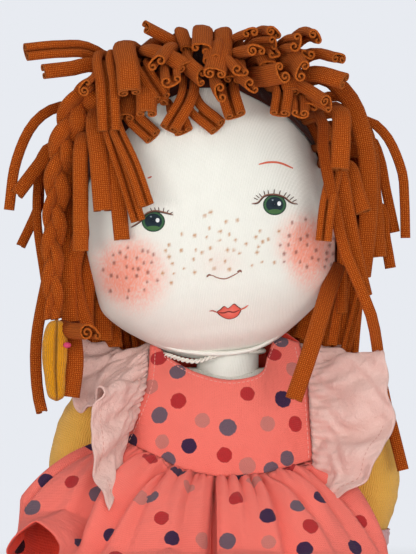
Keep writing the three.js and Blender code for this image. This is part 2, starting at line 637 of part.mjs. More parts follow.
// The point of the scalp straight out from the middle of the head towards a point.
function onScalp(target) {
  const local = target.clone().applyMatrix4(headPlace.clone().invert());
  const inside = (p) => {
    const h = (2 * p.z) / HEAD_HEIGHT;
    if (h >= 0.99 || h <= -1) return false;
    const i = HEAD_ROWS.findIndex((row) => row[0] > h);
    const [h0, w0, d0] = HEAD_ROWS[i - 1];
    const [h1, w1, d1] = HEAD_ROWS[i];
    const t = (h - h0) / (h1 - h0);
    const x = (2 * p.x) / (HEAD_WIDTH * (w0 + (w1 - w0) * t));
    const y = (2 * p.y) / (HEAD_DEPTH * (d0 + (d1 - d0) * t));
    return Math.abs(x) ** 2.2 + Math.abs(y) ** 2.2 < 1;
  };
  let low = 0;
  let high = 3;
  for (let i = 0; i < 24; i++) {
    const share = (low + high) / 2;
    if (inside(local.clone().multiplyScalar(share))) low = share;
    else high = share;
  }
  return local.multiplyScalar(low).applyMatrix4(headPlace);
}

// One strip, as a tube of a few sides along its route.
function tube(points, width, grow, sides = STRIP_SIDES) {
  const route = new THREE.CatmullRomCurve3(points);
  const outline = new THREE.Shape();
  const radius = width / 2 + grow;
  for (let i = 0; i < sides; i++) {
    const angle = (2 * Math.PI * i) / sides;
    if (i === 0) outline.moveTo(radius, 0);
    else outline.lineTo(radius * Math.cos(angle), radius * Math.sin(angle));
  }
  outline.closePath();
  return solid(
    new THREE.ExtrudeGeometry(outline, {
      steps: points.length - 1,
      bevelEnabled: false,
      extrudePath: route,
    }),
  );
}

const FRINGE = [
  [9.5, [-26, -8, 254], [-48, -20, 259], [-87, -28, 258.5]],
  [6, [-34, -10, 246], [-54, -24, 251], [-79, -27, 250]],
  [8.5, [-44, -20, 238], [-53, -32, 242], [-61, -46, 244.5]],
  [11, [-36, -16, 250], [-51, -32, 257], [-50, -42, 223]],
  [11.4, [-30, -14, 256], [-43, -34, 262], [-40.5, -50, 242]],
  [8, [-22, -14, 258], [-35, -38, 259], [-24.5, -51, 239]],
  [9, [-18, -12, 260], [-34, -32, 264], [-28, -53, 254]],
  [8, [-14, -12, 262], [-28, -30, 266], [-15, -51, 254]],
  [9.5, [-18, -18, 256], [-28, -38, 258], [-20.6, -55, 247.5]],
  [10, [-36, -26, 240], [-37, -42, 243], [-33.4, -52, 231]],
  [8, [-44, -26, 232], [-44, -40, 232], [-27.8, -49, 221]],
  [8, [-12, -30, 246], [-15, -46, 246], [-23, -53, 223]],
  [8, [-20, -34, 240], [-19, -47, 234], [-12.7, -51, 225.5]],
  [8, [-16, -34, 240], [-13, -46, 239], [0.8, -53, 224.7]],
  [7.2, [-10, -10, 262], [-18, -14, 265], [-35, -17, 271.6]],
  [7, [-12, -10, 262], [-15, -18, 268], [-12, -32, 258]],
  [12, [-8, -8, 262], [-8, -22, 270], [-8.7, -40, 260]],
  [8, [-6, -18, 260], [-8, -32, 264], [-3.5, -48, 257]],
  [9.5, [0, -12, 260], [2, -28, 269], [-1.6, -55, 247]],
  [7, [-8, -24, 254], [-8, -40, 258], [-8, -54, 247]],
  [7, [-2, -28, 250], [-2, -44, 252], [1, -54, 240]],
  [8.7, [4, -30, 246], [5, -45, 247], [8, -53, 231]],
  [8, [4, -10, 260], [6, -22, 267], [13, -42, 269]],
  [7, [10, -8, 260], [15, -16, 268], [25, -34, 269]],
  [7, [10, -12, 258], [15, -26, 265], [25, -43, 263]],
  [8.5, [6, -18, 257], [9, -34, 262], [17, -52, 258]],
  [6.5, [14, -14, 256], [19, -30, 262], [31, -42, 257]],
  [9, [16, -6, 258], [26, -16, 267], [36, -34, 265]],
  [7.5, [22, -4, 255], [34, -8, 267], [44, -22, 267]],
  [8, [24, -6, 252], [38, -12, 260], [55, -22, 257]],
  [9.5, [22, -16, 250], [30, -30, 258], [37.4, -44, 251]],
  [9, [14, -22, 252], [19, -40, 255], [28, -53, 249]],
  [8, [2, -26, 252], [4, -42, 257], [9.6, -55, 251]],
  [7.5, [10, -26, 248], [12, -44, 251], [16, -53, 244]],
  [7, [30, -6, 246], [42, -12, 252], [59, -20, 246.6]],
  [9, [28, -18, 244], [38, -30, 248], [49, -38, 235]],
  [9.5, [22, -26, 240], [28, -43, 243], [27, -50, 231]],
  [7, [28, -24, 238], [36, -38, 243], [36.5, -47, 232]],
];
const LEFT = [
  [10.3, [-50, -14, 226], [-57, -33, 231], [-55, -40, 212], [-53, -42, 188]],
  [8, [-46, -16, 222], [-50, -38, 222], [-47.7, -45, 204], [-45.3, -46, 174]],
  [7.2, [-52, -12, 220], [-64, -24, 224], [-62.8, -31, 205], [-61.7, -33, 170]],
  [7.2, [-44, -18, 226], [-48, -42, 229], [-43, -52, 206], [-36.5, -55, 182]],
  [8.7, [-42, -18, 228], [-43, -44, 233], [-38, -57, 212], [-30, -60, 191]],
  [5.6, [-52, -4, 228], [-68, -6, 237], [-84, -8, 225], [-92, -8, 207], [-93, -8, 188]],
  [7.2, [-54, -2, 220], [-72, -4, 220], [-82, -6, 209], [-93, -6, 194.5]],
  [5.6, [-54, 2, 214], [-72, 6, 208], [-82, 8, 192], [-89, 8, 172]],
  [6, [-54, 6, 216], [-74, 12, 218], [-84, 14, 188], [-80, 14, 160]],
  [5, [-56, 4, 205], [-72, 4, 196], [-77, -2, 160], [-82.5, -8, 124], [-79.5, -14, 105],
    [-73, -18, 88]],
  [5, [-56, 0, 196], [-70, 0, 190], [-78, -6, 150], [-80, -12, 118], [-74, -16, 94]],
  [6, [-56, -4, 186], [-62, -10, 180], [-60, -14, 160], [-60, -12, 140]],
  [6, [-56, -2, 180], [-57, -4, 168], [-55, -2, 150], [-54, 0, 136]],
];
const RIGHT = [
  [9.2, [38, -4, 240], [52, -12, 248], [62, -14, 231], [67, -14, 213], [68.4, -14, 194],
    [67, -12, 172]],
  [5.6, [36, -14, 232], [46, -34, 231], [49.5, -42, 207], [56.5, -38, 185], [63, -34, 163], [71, -30, 143],
    [76, -34, 127], [80, -34, 105], [82, -24, 84], [84, -18, 71]],
  [9.5, [38, -14, 230], [54, -26, 236], [56, -36, 222], [55.7, -40, 204]],
  [9, [42, -8, 222], [58, -20, 222], [61, -28, 206], [64.7, -30, 186]],
  [8, [40, -14, 222], [50, -34, 216], [51, -42, 200], [47, -46, 174]],
  [8, [44, 0, 220], [62, 0, 222], [71, -2, 207], [74, -4, 167]],
  [6, [46, 6, 214], [64, 8, 214], [76, 8, 190], [79, 8, 163]],
  [4.8, [44, 2, 224], [60, 4, 234], [76, 2, 222], [82, 0, 204], [83.5, 0, 177]],
  [4.8, [44, 6, 222], [62, 12, 226], [74, 12, 206], [79, 12, 180]],
  [8.3, [48, -8, 176], [56, -18, 170], [56, -28, 152], [50, -42, 136], [41, -43, 119], [35, -40, 101]],
  [7, [48, -2, 170], [58, -6, 160], [60, -8, 142], [58, -8, 132]],
  [7, [50, 4, 180], [62, 4, 174], [66, 6, 152], [63, 8, 136]],
];
const BACK = [];
for (let i = 0; i < 8; i++) {
  const x = -52 + i * 13.7;
  const out = 1 - 0.28 * Math.abs((x + 4) / 52);
  const low = (i % 3) * 9;
  BACK.push([8, [x * 0.7, 34 * out, 224], [x * 0.95, 52 * out, 212], [x, 54 * out + 2, 176],
    [x * 1.04, 52 * out, 142 - low], [x * 1.04, 50 * out, 118 - low]]);
}
for (let i = 0; i < 6; i++) {
  const x = -42 + i * 15;
  const out = 1 - 0.3 * Math.abs((x + 4) / 48);
  BACK.push([8.5, [x * 0.5, 20, 252], [x * 0.85, 42 * out, 250], [x, 58 * out, 228],
    [x * 1.05, 63 * out, 196 - (i % 2) * 10]]);
}

// Braid: three plaited strips from the temple, bound at the end, with two ends coming out of the tie.
const BRAID_ROUTE = [
  [-44, -18, 240], [-61, -26, 239], [-67.5, -27, 220], [-71, -27, 204], [-72.5, -27, 188], [-73, -27, 172],
  [-73, -28, 156], [-73, -29, 143],
];
const BRAID_WIDTH = 14;
const BRAID_BUMPS = 9;
function braidForm(grow) {
  const route = new THREE.CatmullRomCurve3(BRAID_ROUTE.map(([x, y, z]) => V(x, y, z)));
  const stations = [];
  const steps = BRAID_BUMPS * 2;
  for (let i = 0; i <= steps; i++) {
    const bump = i % 2 ? 1 : 0.84;
    const narrow = i > steps - 2 ? 0.75 : 1;
    stations.push([route.getPointAt(i / steps), (BRAID_WIDTH / 2) * bump * narrow]);
  }
  return limb(stations, grow, 8, V(0, 1, 0));
}
const BRAID_ENDS = [
  [9, [-72, -29, 147], [-68, -30, 134], [-67.5, -30, 118], [-68.3, -29, 103]],
  [8.4, [-72, -29, 146], [-69, -32, 137], [-63, -34, 132.5], [-54, -38, 132]],
];
const TIE_WIDTH = 11;
const TIE_LENGTH = 36;
const TIE_TOP = V(-74.6, -34, 141);
function tieForm(grow) {
  const rows = [[0, 0.35], [0.12, 0.8], [0.4, 1], [0.7, 0.92], [0.92, 0.66], [1, 0.3]];
  return loft(
    rows.map(([t, w]) =>
      section(V(TIE_TOP.x, TIE_TOP.y, TIE_TOP.z - t * TIE_LENGTH), (w * TIE_WIDTH) / 2 + grow,
        w * 3.4 + grow, w * 3.4 + grow, 12),
    ),
  );
}

const strips = (list, grow) =>
  list.map(([width, ...points]) => tube(points.map(([x, y, z]) => V(x, y, z)), width, grow));
const rooted = (list, grow) =>
  list.map(([width, first, ...rest]) =>
    tube([onScalp(V(...first)), ...rest.map(([x, y, z]) => V(x, y, z))], width, grow),
  );
const join = (shapes) => shapes.reduce((a, b) => a.add(b));
const KNOT_AT = V(-66.5, -36.4, 130);
const braidSolid = (grow) => join([braidForm(grow), ...strips(BRAID_ENDS, grow)]);
const locks = {
  braid: (grow) => braidSolid(grow),
  hair_fringe: (grow) => join(rooted(FRINGE, grow)),
  hair_right: (grow) => join(rooted(RIGHT, grow)),
  hair_left: (grow) => join(rooted(LEFT, grow)),
  hair_back: (grow) => join(rooted(BACK, grow)),
};
let taken = tieForm(GAP).add(ball(KNOT_AT, 1.7 + GAP, 8));
for (const [name, form] of Object.entries(locks)) {
  let shape = form(0);
  if (WEFTS[name]) shape = shape.add(scalpLayer.intersect(WEFTS[name]));
  shape = shape.subtract(scalpClear).subtract(taken);
  for (const [other, region] of Object.entries(WEFTS)) {
    if (other !== name) shape = shape.subtract(scalpLayer.intersect(region));
  }
  add(name, shape, RUST);
  taken = taken.add(form(GAP));
}
add("braid_tie", tieForm(0), YELLOW_KNIT);
add("braid_knot", ball(KNOT_AT, 1.7, 8), KNOT_PINK);

// The frame's origin is the middle of the seat.
doll.position.set(0, -SEAT_Y, 0);

export default doll;
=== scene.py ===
# A seated rag doll: a stuffed jersey body, a dotted cotton dress with linen shoulder ruffles, and
# hair of curled jersey strips. Points are in the doll's own millimetres, x to the viewer's right,
# y backwards and z up, and become metres in the frame.
import functools
import math
import random

import bpy
import numpy as np
from mathutils import Euler, Matrix, Vector
from mathutils.bvhtree import BVHTree


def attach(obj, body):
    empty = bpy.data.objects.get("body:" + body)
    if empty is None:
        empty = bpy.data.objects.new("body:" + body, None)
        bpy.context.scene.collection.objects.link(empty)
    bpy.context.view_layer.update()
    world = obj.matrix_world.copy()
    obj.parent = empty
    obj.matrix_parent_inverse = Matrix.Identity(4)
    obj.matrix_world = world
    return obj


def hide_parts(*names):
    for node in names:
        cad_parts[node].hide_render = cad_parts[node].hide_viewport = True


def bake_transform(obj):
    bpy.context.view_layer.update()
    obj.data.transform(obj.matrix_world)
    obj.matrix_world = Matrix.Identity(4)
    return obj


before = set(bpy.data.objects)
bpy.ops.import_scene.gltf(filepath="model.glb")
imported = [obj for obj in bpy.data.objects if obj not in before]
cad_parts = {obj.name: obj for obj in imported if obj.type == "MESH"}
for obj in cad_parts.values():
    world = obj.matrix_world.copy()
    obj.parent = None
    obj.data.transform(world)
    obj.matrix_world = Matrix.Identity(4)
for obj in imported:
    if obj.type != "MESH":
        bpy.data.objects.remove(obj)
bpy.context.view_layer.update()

# Camera. It stands level with the doll's face and looks down a little, far enough away that the
# view is almost flat. The photograph shows the doll from the lap up.
MM = 0.001
SEAT_Y = 16  # the frame's origin is in the seat, this far behind the doll's middle
PHOTO_SIZE = (416, 554)
PIXEL = 0.45  # of the doll to one pixel of the photograph, at the doll's middle
VIEW_MIDDLE = np.array([-4.95, 0, 158.9])
VIEW_DISTANCE = 2500
VIEW_ELEVATION = math.radians(2)
SENSOR = 36


def metres(points):
    """Points in the doll's own millimetres, as metres in the frame."""
    return (np.asarray(points, float) - (0, SEAT_Y, 0)) * MM


def own_points(piece):
    """A piece's points in the doll's own millimetres."""
    return np.array([v.co for v in piece.data.vertices]) / MM + (0, SEAT_Y, 0)


view_back = np.array([0, -math.cos(VIEW_ELEVATION), math.sin(VIEW_ELEVATION)])
view_up = np.array([0, math.sin(VIEW_ELEVATION), math.cos(VIEW_ELEVATION)])
eye = VIEW_MIDDLE + view_back * VIEW_DISTANCE
camera_data = bpy.data.cameras.new("camera")
camera_data.sensor_fit = "VERTICAL"
camera_data.sensor_height = SENSOR
camera_data.lens = SENSOR * VIEW_DISTANCE / (PHOTO_SIZE[1] * PIXEL)
camera_data.clip_end = 20
camera = bpy.data.objects.new("camera", camera_data)
camera.location = metres(eye)
camera.rotation_euler = Euler((math.pi / 2 - VIEW_ELEVATION, 0, 0))
bpy.context.scene.collection.objects.link(camera)
bpy.context.scene.camera = camera


def unit(vectors):
    """The vectors, each made one long."""
    return vectors / np.linalg.norm(vectors, axis=-1, keepdims=True)


def in_photo(points):
    """Where points show in the photograph, in its pixels."""
    away = np.asarray(points, float) - eye
    shrink = VIEW_DISTANCE / -(away @ view_back) / PIXEL
    across, up = away[..., 0] * shrink, (away @ view_up) * shrink
    return np.stack([across + PHOTO_SIZE[0] / 2, PHOTO_SIZE[1] / 2 - up], axis=-1)


def sight(px, py):
    """The direction from the camera through a pixel of the photograph."""
    across = (px - PHOTO_SIZE[0] / 2) * PIXEL
    up = (PHOTO_SIZE[1] / 2 - py) * PIXEL
    line = -view_back * VIEW_DISTANCE + np.array([across, 0, 0]) + view_up * up
    return unit(line)


def at_depth(px, py, depth):
    """The point that shows at a pixel of the photograph and lies at this depth."""
    along = sight(px, py)
    return eye + along * ((depth - eye[1]) / along[1])


# Head. Two panels of off-white cotton jersey are sewn together round the side of the head and
# stuffed hard with fibre. The jaw is squared, and the knit's fine wales run up and down the face.
HEAD_WIDTH = 115
HEAD_HEIGHT = 138
HEAD_DEPTH = 95
HEAD_TILT = math.radians(-8.4)
HEAD_YAW = math.radians(4)
HEAD_MIDDLE = np.array([-6.5, -2, 193.5])
SQUARENESS = 2.2  # 2 is an ellipse
HEAD_SEAM_PINCH = 0.9
CHIN_DROP = 1.6
# height, width and depth, as shares of the half sizes
HEAD_ROWS = [
    (-1.0, 0.02, 0.02), (-0.995, 0.2, 0.16), (-0.965, 0.36, 0.32), (-0.88, 0.56, 0.56),
    (-0.79, 0.73, 0.69), (-0.7, 0.85, 0.79), (-0.615, 0.925, 0.86), (-0.5, 0.95, 0.92),
    (-0.22, 0.985, 1.0), (0.08, 0.95, 1.0), (0.34, 0.85, 0.96), (0.58, 0.7, 0.83), (0.78, 0.5, 0.65),
    (0.93, 0.27, 0.38), (0.985, 0.1, 0.12), (0.99, 0.01, 0.01),
]
JERSEY_WALE = 0.77
JERSEY_COLOUR = "#efede2"
BANDS = math.pi / 10  # a wave texture's scale at which its bands lie one unit apart


def linear(colour):
    """An sRGB hex colour as linear red, green and blue."""
    levels = [int(colour[i:i + 2], 16) / 255 for i in (1, 3, 5)]
    return tuple(v / 12.92 if v <= 0.04045 else ((v + 0.055) / 1.055) ** 2.4 for v in levels)


def set_inputs(node, inputs):
    """Sets inputs of a node, each to a value, or linked from a socket, or from a node, by which its
    factor or else its first output is meant."""
    for key, value in inputs.items():
        if isinstance(value, bpy.types.Node):
            value = value.outputs.get("Fac") or value.outputs[0]
        if isinstance(value, bpy.types.NodeSocket):
            node.id_data.links.new(value, node.inputs[key])
        else:
            node.inputs[key].default_value = value


def add_node(tree, kind, inputs=(), **settings):
    """A shader node with its settings and inputs."""
    made = tree.nodes.new("ShaderNode" + kind)
    for key, value in settings.items():
        setattr(made, key, value)
    set_inputs(made, dict(inputs))
    return made


def new_material(name, roughness, sheen=0.0, specular=0.2):
    """A material, what adds a node to it, and its shader."""
    material = bpy.data.materials.new(name)
    material.use_nodes = True
    shader = material.node_tree.nodes["Principled BSDF"]
    set_inputs(shader, {"Roughness": roughness, "Sheen Weight": sheen, "Specular IOR Level": specular})
    return material, functools.partial(add_node, material.node_tree), shader


def rgba(colour):
    """An sRGB hex colour as a linear one with full alpha."""
    return (*linear(colour), 1)


def full_turn(count):
    """Evenly spaced angles round a circle."""
    return np.linspace(0, 2 * math.pi, count, endpoint=False)


def lengths_along(points):
    """How far along a line each of its points lies."""
    return np.concatenate([[0], np.cumsum(np.linalg.norm(np.diff(points, axis=0), axis=1))])


def through(a, b, c, d, t):
    """A smooth curve from b to c that comes from a and goes on to d."""
    return (2 * b + (c - a) * t + (2 * a - 5 * b + 4 * c - d) * t**2 + (3 * b - a - 3 * c + d) * t**3) / 2


def smooth_line(points, count, closed=False):
    """Evenly spaced points on a smooth curve through the given ones."""
    given = np.asarray(points, float)
    if closed:
        padded = np.vstack([given[-1:], given, given[:2]])
    else:
        padded = np.vstack([2 * given[:1] - given[1:2], given, 2 * given[-1:] - given[-2:-1]])
    t = np.linspace(0, 1, 24, endpoint=False)[:, None]
    spans = zip(padded, padded[1:], padded[2:], padded[3:])
    fine = np.vstack([*[through(*four, t) for four in spans], padded[-2:-1]])
    along = lengths_along(fine)
    at = np.linspace(0, along[-1], count + 1)[:-1] if closed else np.linspace(0, along[-1], count)
    return np.column_stack([np.interp(at, along, fine[:, k]) for k in range(fine.shape[1])])


def surface(name, grid, around=False, capped=False, flip=False, band=False):
    """A skin over rows of points. Its UV map is in millimetres, u along a row and v down the rows. Its
    ends are open, or capped to a point, or closed across the thickness of a band of cloth."""
    rows, columns = grid.shape[:2]
    wrapped = np.concatenate([grid, grid[:, :1]], axis=1) if around else grid
    u = np.zeros(wrapped.shape[:2])
    u[:, 1:] = np.cumsum(np.linalg.norm(np.diff(wrapped, axis=1), axis=2), axis=1)
    u -= u[:, -1:] / 2
    v = np.zeros(wrapped.shape[:2])
    v[1:] = np.cumsum(np.linalg.norm(np.diff(wrapped, axis=0), axis=2).mean(axis=1))[:, None]
    points = metres(grid.reshape(-1, 3)).tolist()
    faces = []
    corners = []
    for i in range(rows - 1):
        for j in range(columns if around else columns - 1):
            k = (j + 1) % columns
            face = [i * columns + j, i * columns + k, (i + 1) * columns + k, (i + 1) * columns + j]
            place = [(u[a, b], v[a, b]) for a, b in ((i, j), (i, j + 1), (i + 1, j + 1), (i + 1, j))]
            faces.append(face[::-1] if flip else face)
            corners.extend(place[::-1] if flip else place)
    if capped:
        for i, turn in ((0, flip), (rows - 1, not flip)):
            points.append(metres(grid[i].mean(axis=0)).tolist())
            for j in range(columns):
                face = [i * columns + j, i * columns + (j + 1) % columns, len(points) - 1]
                faces.append(face if turn else face[::-1])
                corners.extend([(u[i, j], v[i, j])] * 3)
    smooth = len(faces)
    if band:
        for i, turn in ((0, True), (rows - 1, False)):
            for k in range(columns // 2 - 1):
                a = i * columns + k
                d = (i + 1) * columns - 1 - k
                face = [a, a + 1, d - 1, d]
                faces.append(face if turn else face[::-1])
                corners.extend([(k, 0), (k + 1, 0), (k + 1, 1), (k, 1)])
    mesh = bpy.data.meshes.new(name)
    mesh.from_pydata(points, [], faces)
    mesh.uv_layers.new(name="cloth").data.foreach_set("uv", np.array(corners, np.float32).ravel())
    mesh.polygons.foreach_set("use_smooth", np.arange(len(faces)) < smooth)
    made = bpy.data.objects.new(name, mesh)
    bpy.context.scene.collection.objects.link(made)
    return made


def mark_points(piece, name, values):
    """Keeps a number, or a linear colour, for each point of a piece."""
    values = np.asarray(values, np.float32)
    if values.shape[-1] == 3:
        values = np.column_stack([values, np.ones(len(values), np.float32)])
        layer = piece.data.color_attributes.new(name, "FLOAT_COLOR", "POINT")
        layer.data.foreach_set("color", values.ravel())
    else:
        piece.data.attributes.new(name, "FLOAT", "POINT").data.foreach_set("value", values.ravel())


def belongs(piece, material, body, nodes=()):
    """Gives a piece its material and hides the solids that it stands for. A piece given a body's name moves
    with that body; given anything else, it is fixed where it lies.
    """
    piece.data.materials.clear()
    piece.data.materials.append(material)
    if isinstance(body, str):
        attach(piece, body)
    else:
        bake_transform(piece)
    if nodes:
        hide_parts(*nodes)
    return piece


def jersey(name, colour, wale, depth=0.12, painted=False, mottle=0.03):
    """Cotton jersey: a soft, matt single knit with fine upright wales."""
    material, add, shader = new_material(name, roughness=0.95, sheen=0.15)
    uv = add("UVMap", uv_map="cloth")
    rib = add("TexWave", {"Vector": uv, "Scale": BANDS / wale,
        "Distortion": 0.6, "Detail": 1.0, "Detail Scale": 2.0})
    stitch = add("TexWave", {"Vector": uv, "Scale": BANDS / (wale * 0.8),
        "Distortion": 0.8, "Detail": 1.0}, bands_direction="Y")
    fuzz = add("TexNoise", {"Vector": uv, "Scale": 1.6, "Detail": 3.0})
    knit = add("Math", {0: stitch, 1: 0.35, 2: rib}, operation="MULTIPLY_ADD")
    height = add("Math", {0: fuzz, 1: 0.9, 2: knit}, operation="MULTIPLY_ADD")
    blotch = add("TexNoise", {"Vector": uv, "Scale": 0.12, "Detail": 4.0})
    level = add("Math", {0: blotch, 1: mottle * 2, 2: 1 - mottle}, operation="MULTIPLY_ADD")
    groove = add("Math", {0: rib, 1: mottle, 2: level}, operation="MULTIPLY_ADD")
    shaded = add("Math", {0: groove, 1: mottle / 2}, operation="SUBTRACT")
    if painted:
        base = add("Attribute", attribute_name="paint").outputs["Color"]
    else:
        base = add("RGB").outputs["Color"]
        base.default_value = rgba(colour)
    mixed = add("VectorMath", {0: base, "Scale": shaded}, operation="SCALE")
    bump = add("Bump", {"Height": height, "Distance": depth * MM, "Strength": 0.8})
    set_inputs(shader, {"Base Color": mixed, "Normal": bump})
    return material


head_turn = np.array(Matrix.Rotation(HEAD_TILT, 3, "Y") @ Matrix.Rotation(HEAD_YAW, 3, "Z"))


def on_head(local):
    """Points given from the middle of the head, in its own directions, as the doll's points."""
    return np.asarray(local, float) @ head_turn.T + HEAD_MIDDLE


def head_grid(angles, fine_rows):
    """Rows of the head's surface from the chin to the crown, at these angles."""
    profile = smooth_line(HEAD_ROWS, 400)
    along = lengths_along(profile)
    at = np.interp(fine_rows, [0, 1], [0, along[-1]])
    h, w, d = (np.interp(at, along, profile[:, k]) for k in range(3))
    c, s = np.cos(angles), np.sin(angles)
    round_x = np.sign(c) * np.abs(c) ** (2 / SQUARENESS)
    round_y = np.sign(s) * np.abs(s) ** (2 / SQUARENESS)
    x = w[:, None] * HEAD_WIDTH / 2 * round_x
    y = d[:, None] * HEAD_DEPTH / 2 * round_y
    z = np.repeat(h[:, None] * HEAD_HEIGHT / 2, len(angles), axis=1)
    z -= CHIN_DROP * np.clip((-h[:, None] - 0.8) / 0.2, 0, 1)
    pinch = 1 - HEAD_SEAM_PINCH / 50 * np.exp(-((y / 1.6) ** 2))
    return on_head(np.stack([x * pinch, y, z], axis=-1))


# the painted part of the face has a fine mesh, for the colours of its points
face_angles = np.concatenate([
    np.linspace(-math.pi, -2.65, 16, endpoint=False),
    np.linspace(-2.65, -0.49, 170, endpoint=False),
    np.linspace(-0.49, 0, 17),
])
face_rows = np.concatenate([
    np.linspace(0, 0.1, 10, endpoint=False),
    np.linspace(0.1, 0.62, 170, endpoint=False),
    np.linspace(0.62, 1, 20),
])
face = surface("face", head_grid(face_angles, face_rows))
back_angles = np.linspace(0, math.pi, 60)
head_back = surface("head_back", head_grid(back_angles, np.linspace(0, 1, 70)))

# Painted face. The features are drawn by hand on the jersey with fabric paint. Their places are
# pixels of the photograph, and blush and freckles soak into the knit.
FACE_MAGNIFIED = 6.272  # the drawing was measured on an enlarged part of the photograph
FACE_CORNER = (100, 140)


def face_px(points):
    """Places in the enlarged drawing of the face, as pixels of the photograph."""
    return np.asarray(points, float) / FACE_MAGNIFIED + FACE_CORNER


face_points = own_points(face)
face_seen = in_photo(face_points)
paint = np.tile(np.array(linear(JERSEY_COLOUR)), (len(face_points), 1))


def brush(weight, colour):
    """Paints the face's points, each by its own weight."""
    paint[:] += np.clip(weight, 0, 1)[:, None] * (np.array(linear(colour)) - paint)


def spot(centre, radii):
    """How far each point of the face lies from a centre, where 1 is on the rim."""
    return np.hypot(*((face_seen - face_px(centre)) * FACE_MAGNIFIED / np.array(radii)).T)


rng = np.random.default_rng(7)
BLUSH_LEFT = [
    ((150, 800), (200, 190), 0.55), ((215, 860), (215, 230), 0.55), ((130, 860), (120, 140), 0.5),
]
BLUSH_RIGHT = [
    ((1300, 640), (190, 180), 0.58), ((1340, 740), (170, 220), 0.58), ((1310, 670), (110, 130), 0.5),
]
grain = rng.uniform(0.6, 1.4, len(face_points))
for centre, radii, strength in BLUSH_LEFT + BLUSH_RIGHT:
    brush(strength * grain * np.exp(-(spot(centre, radii) * 1.05) ** 4), "#fb967c")
brush(0.16 * grain * np.exp(-(spot((760, 770), (110, 90))) ** 2), "#f2a896")
NOSE_FRECKLES = [
    (693, 453), (657, 475), (790, 512), (685, 553), (755, 573), (810, 592), (1003, 572), (977, 608),
    (1020, 638), (1055, 623), (1122, 572), (668, 610), (594, 598), (513, 590), (432, 658), (412, 694),
    (509, 692), (602, 690), (640, 706), (692, 678), (800, 690), (840, 690), (917, 651), (875, 710),
    (993, 670), (985, 705), (433, 733), (587, 748), (695, 752), (785, 760), (1017, 765), (1093, 768),
    (953, 787), (526, 805), (593, 830), (716, 806), (812, 810), (393, 836), (462, 838), (862, 503),
    (850, 627), (748, 628), (455, 775), (447, 895),
]
CHEEK_FRECKLES = [
    (83, 722), (125, 706), (163, 735), (230, 740), (300, 700), (335, 718), (268, 695), (88, 770),
    (323, 768), (275, 772), (167, 795), (208, 807), (240, 810), (70, 850), (108, 858), (165, 865),
    (230, 852), (300, 830), (295, 890), (360, 882), (180, 945), (65, 948), (278, 940), (172, 990),
    (20, 815), (175, 675), (1290, 498), (1205, 518), (1187, 600), (1130, 660), (1183, 658), (1258, 622),
    (1300, 658), (1230, 704), (1355, 692), (1422, 708), (1462, 715), (1440, 660), (1465, 620),
    (1255, 765), (1370, 750), (1420, 750), (1298, 795), (1410, 795), (1452, 783), (1300, 600),
    (1330, 740), (1155, 713), (1155, 764),
]
for centre in NOSE_FRECKLES:
    size = rng.uniform(8, 12)
    brush(0.9 * np.exp(-(spot(centre, (size, size)) ** 4)), "#bd7a2c")
for centre in CHEEK_FRECKLES:
    size = rng.uniform(7.5, 11)
    brush(0.85 * np.exp(-(spot(centre, (size, size * 1.2)) ** 4)), "#94483a")
mark_points(face, "paint", paint)

face_jersey = jersey("painted_cotton_jersey", JERSEY_COLOUR, JERSEY_WALE, painted=True)
white_jersey = jersey("cotton_jersey", JERSEY_COLOUR, JERSEY_WALE)
belongs(face, face_jersey, "head", ["face_panel"])
belongs(head_back, white_jersey, "head", ["head_back_panel"])

# the seam between the two panels stands out as a narrow lip under the chin; pixels and depth
JAW_LIP = [
    (128, 327, -8), (140, 336, -12), (160, 344, -15), (180, 350, -17.5), (200, 352.8, -18.5),
    (220, 353.4, -19), (240, 351.8, -18), (256, 348, -16), (270, 341, -13), (284, 331.5, -9),
]
jaw = smooth_line([at_depth(*place) for place in JAW_LIP], 90)
jaw_ahead = unit(np.gradient(jaw, axis=0))
jaw_side = np.cross(jaw_ahead, (0, 1, 0))
jaw_size = 1.1 * np.sin(np.linspace(0.05, 0.95, 90) * math.pi)[:, None, None] ** 0.4
angle = full_turn(12)[:, None]
jaw_ring = jaw_size * (jaw_side[:, None] * np.cos(angle) + np.array([0, 1, 0]) * 1.5 * np.sin(angle))
jaw_lip = surface("jaw_seam", jaw[:, None] + jaw_ring, around=True, capped=True)
belongs(jaw_lip, white_jersey, "head")

# Eyes, brows, nose and mouth. They are fine lines and small filled shapes of fabric paint, which
# lie on the face as a film. Each is laid on along the camera's line of sight.
PAINT_LIFT = 0.12
face_tree = BVHTree.FromPolygons(metres(face_points).tolist(), [p.vertices for p in face.data.polygons])


def on_face(px, py, lift):
    """The point of the face that shows at a pixel of the photograph."""
    hit, normal, _, _ = face_tree.ray_cast(Vector(metres(eye)), Vector(sight(px, py)))
    return np.array(hit) / MM + (0, SEAT_Y, 0) + np.array(normal) * lift


def paint_film(name, rings, colours, closed=True, lift=PAINT_LIFT):
    """A film between lines of pixels, each line with its own colour."""
    grid = np.array([[on_face(px, py, lift) for px, py in ring] for ring in rings])
    film = surface(name, grid, around=closed)
    mark_points(film, "paint", np.repeat([linear(c) for c in colours], grid.shape[1], axis=0))
    return film


def paint_line(name, points, width, colour, taper=0.2, lift=PAINT_LIFT):
    """A painted stroke of some pixels' width, thinner at its ends."""
    line = smooth_line(face_px(points), 5 + 5 * len(points))
    ahead = np.gradient(line, axis=0)
    side = unit(np.column_stack([-ahead[:, 1], ahead[:, 0]]))
    t = np.linspace(-1, 1, len(line))
    half = width / 2 * (taper + (1 - taper) * (1 - t**4))[:, None]
    edges = [line - side * half, line, line + side * half]
    return paint_film(name, edges, [colour] * 3, closed=False, lift=lift)


def rings_round(path, side, up, radius, count):
    """Rings of points round a path. The radius is one number, or one for each point of the path."""
    angle = full_turn(count)[:, None]
    radius = np.reshape(radius, (-1, 1, 1))
    return path[:, None] + radius * (side[:, None] * np.cos(angle) + up[:, None] * np.sin(angle))


def work_on(*pieces):
    """Selects these pieces alone, the first as the active one."""
    bpy.ops.object.select_all(action="DESELECT")
    for piece in pieces:
        piece.select_set(True)
    bpy.context.view_layer.objects.active = pieces[0]


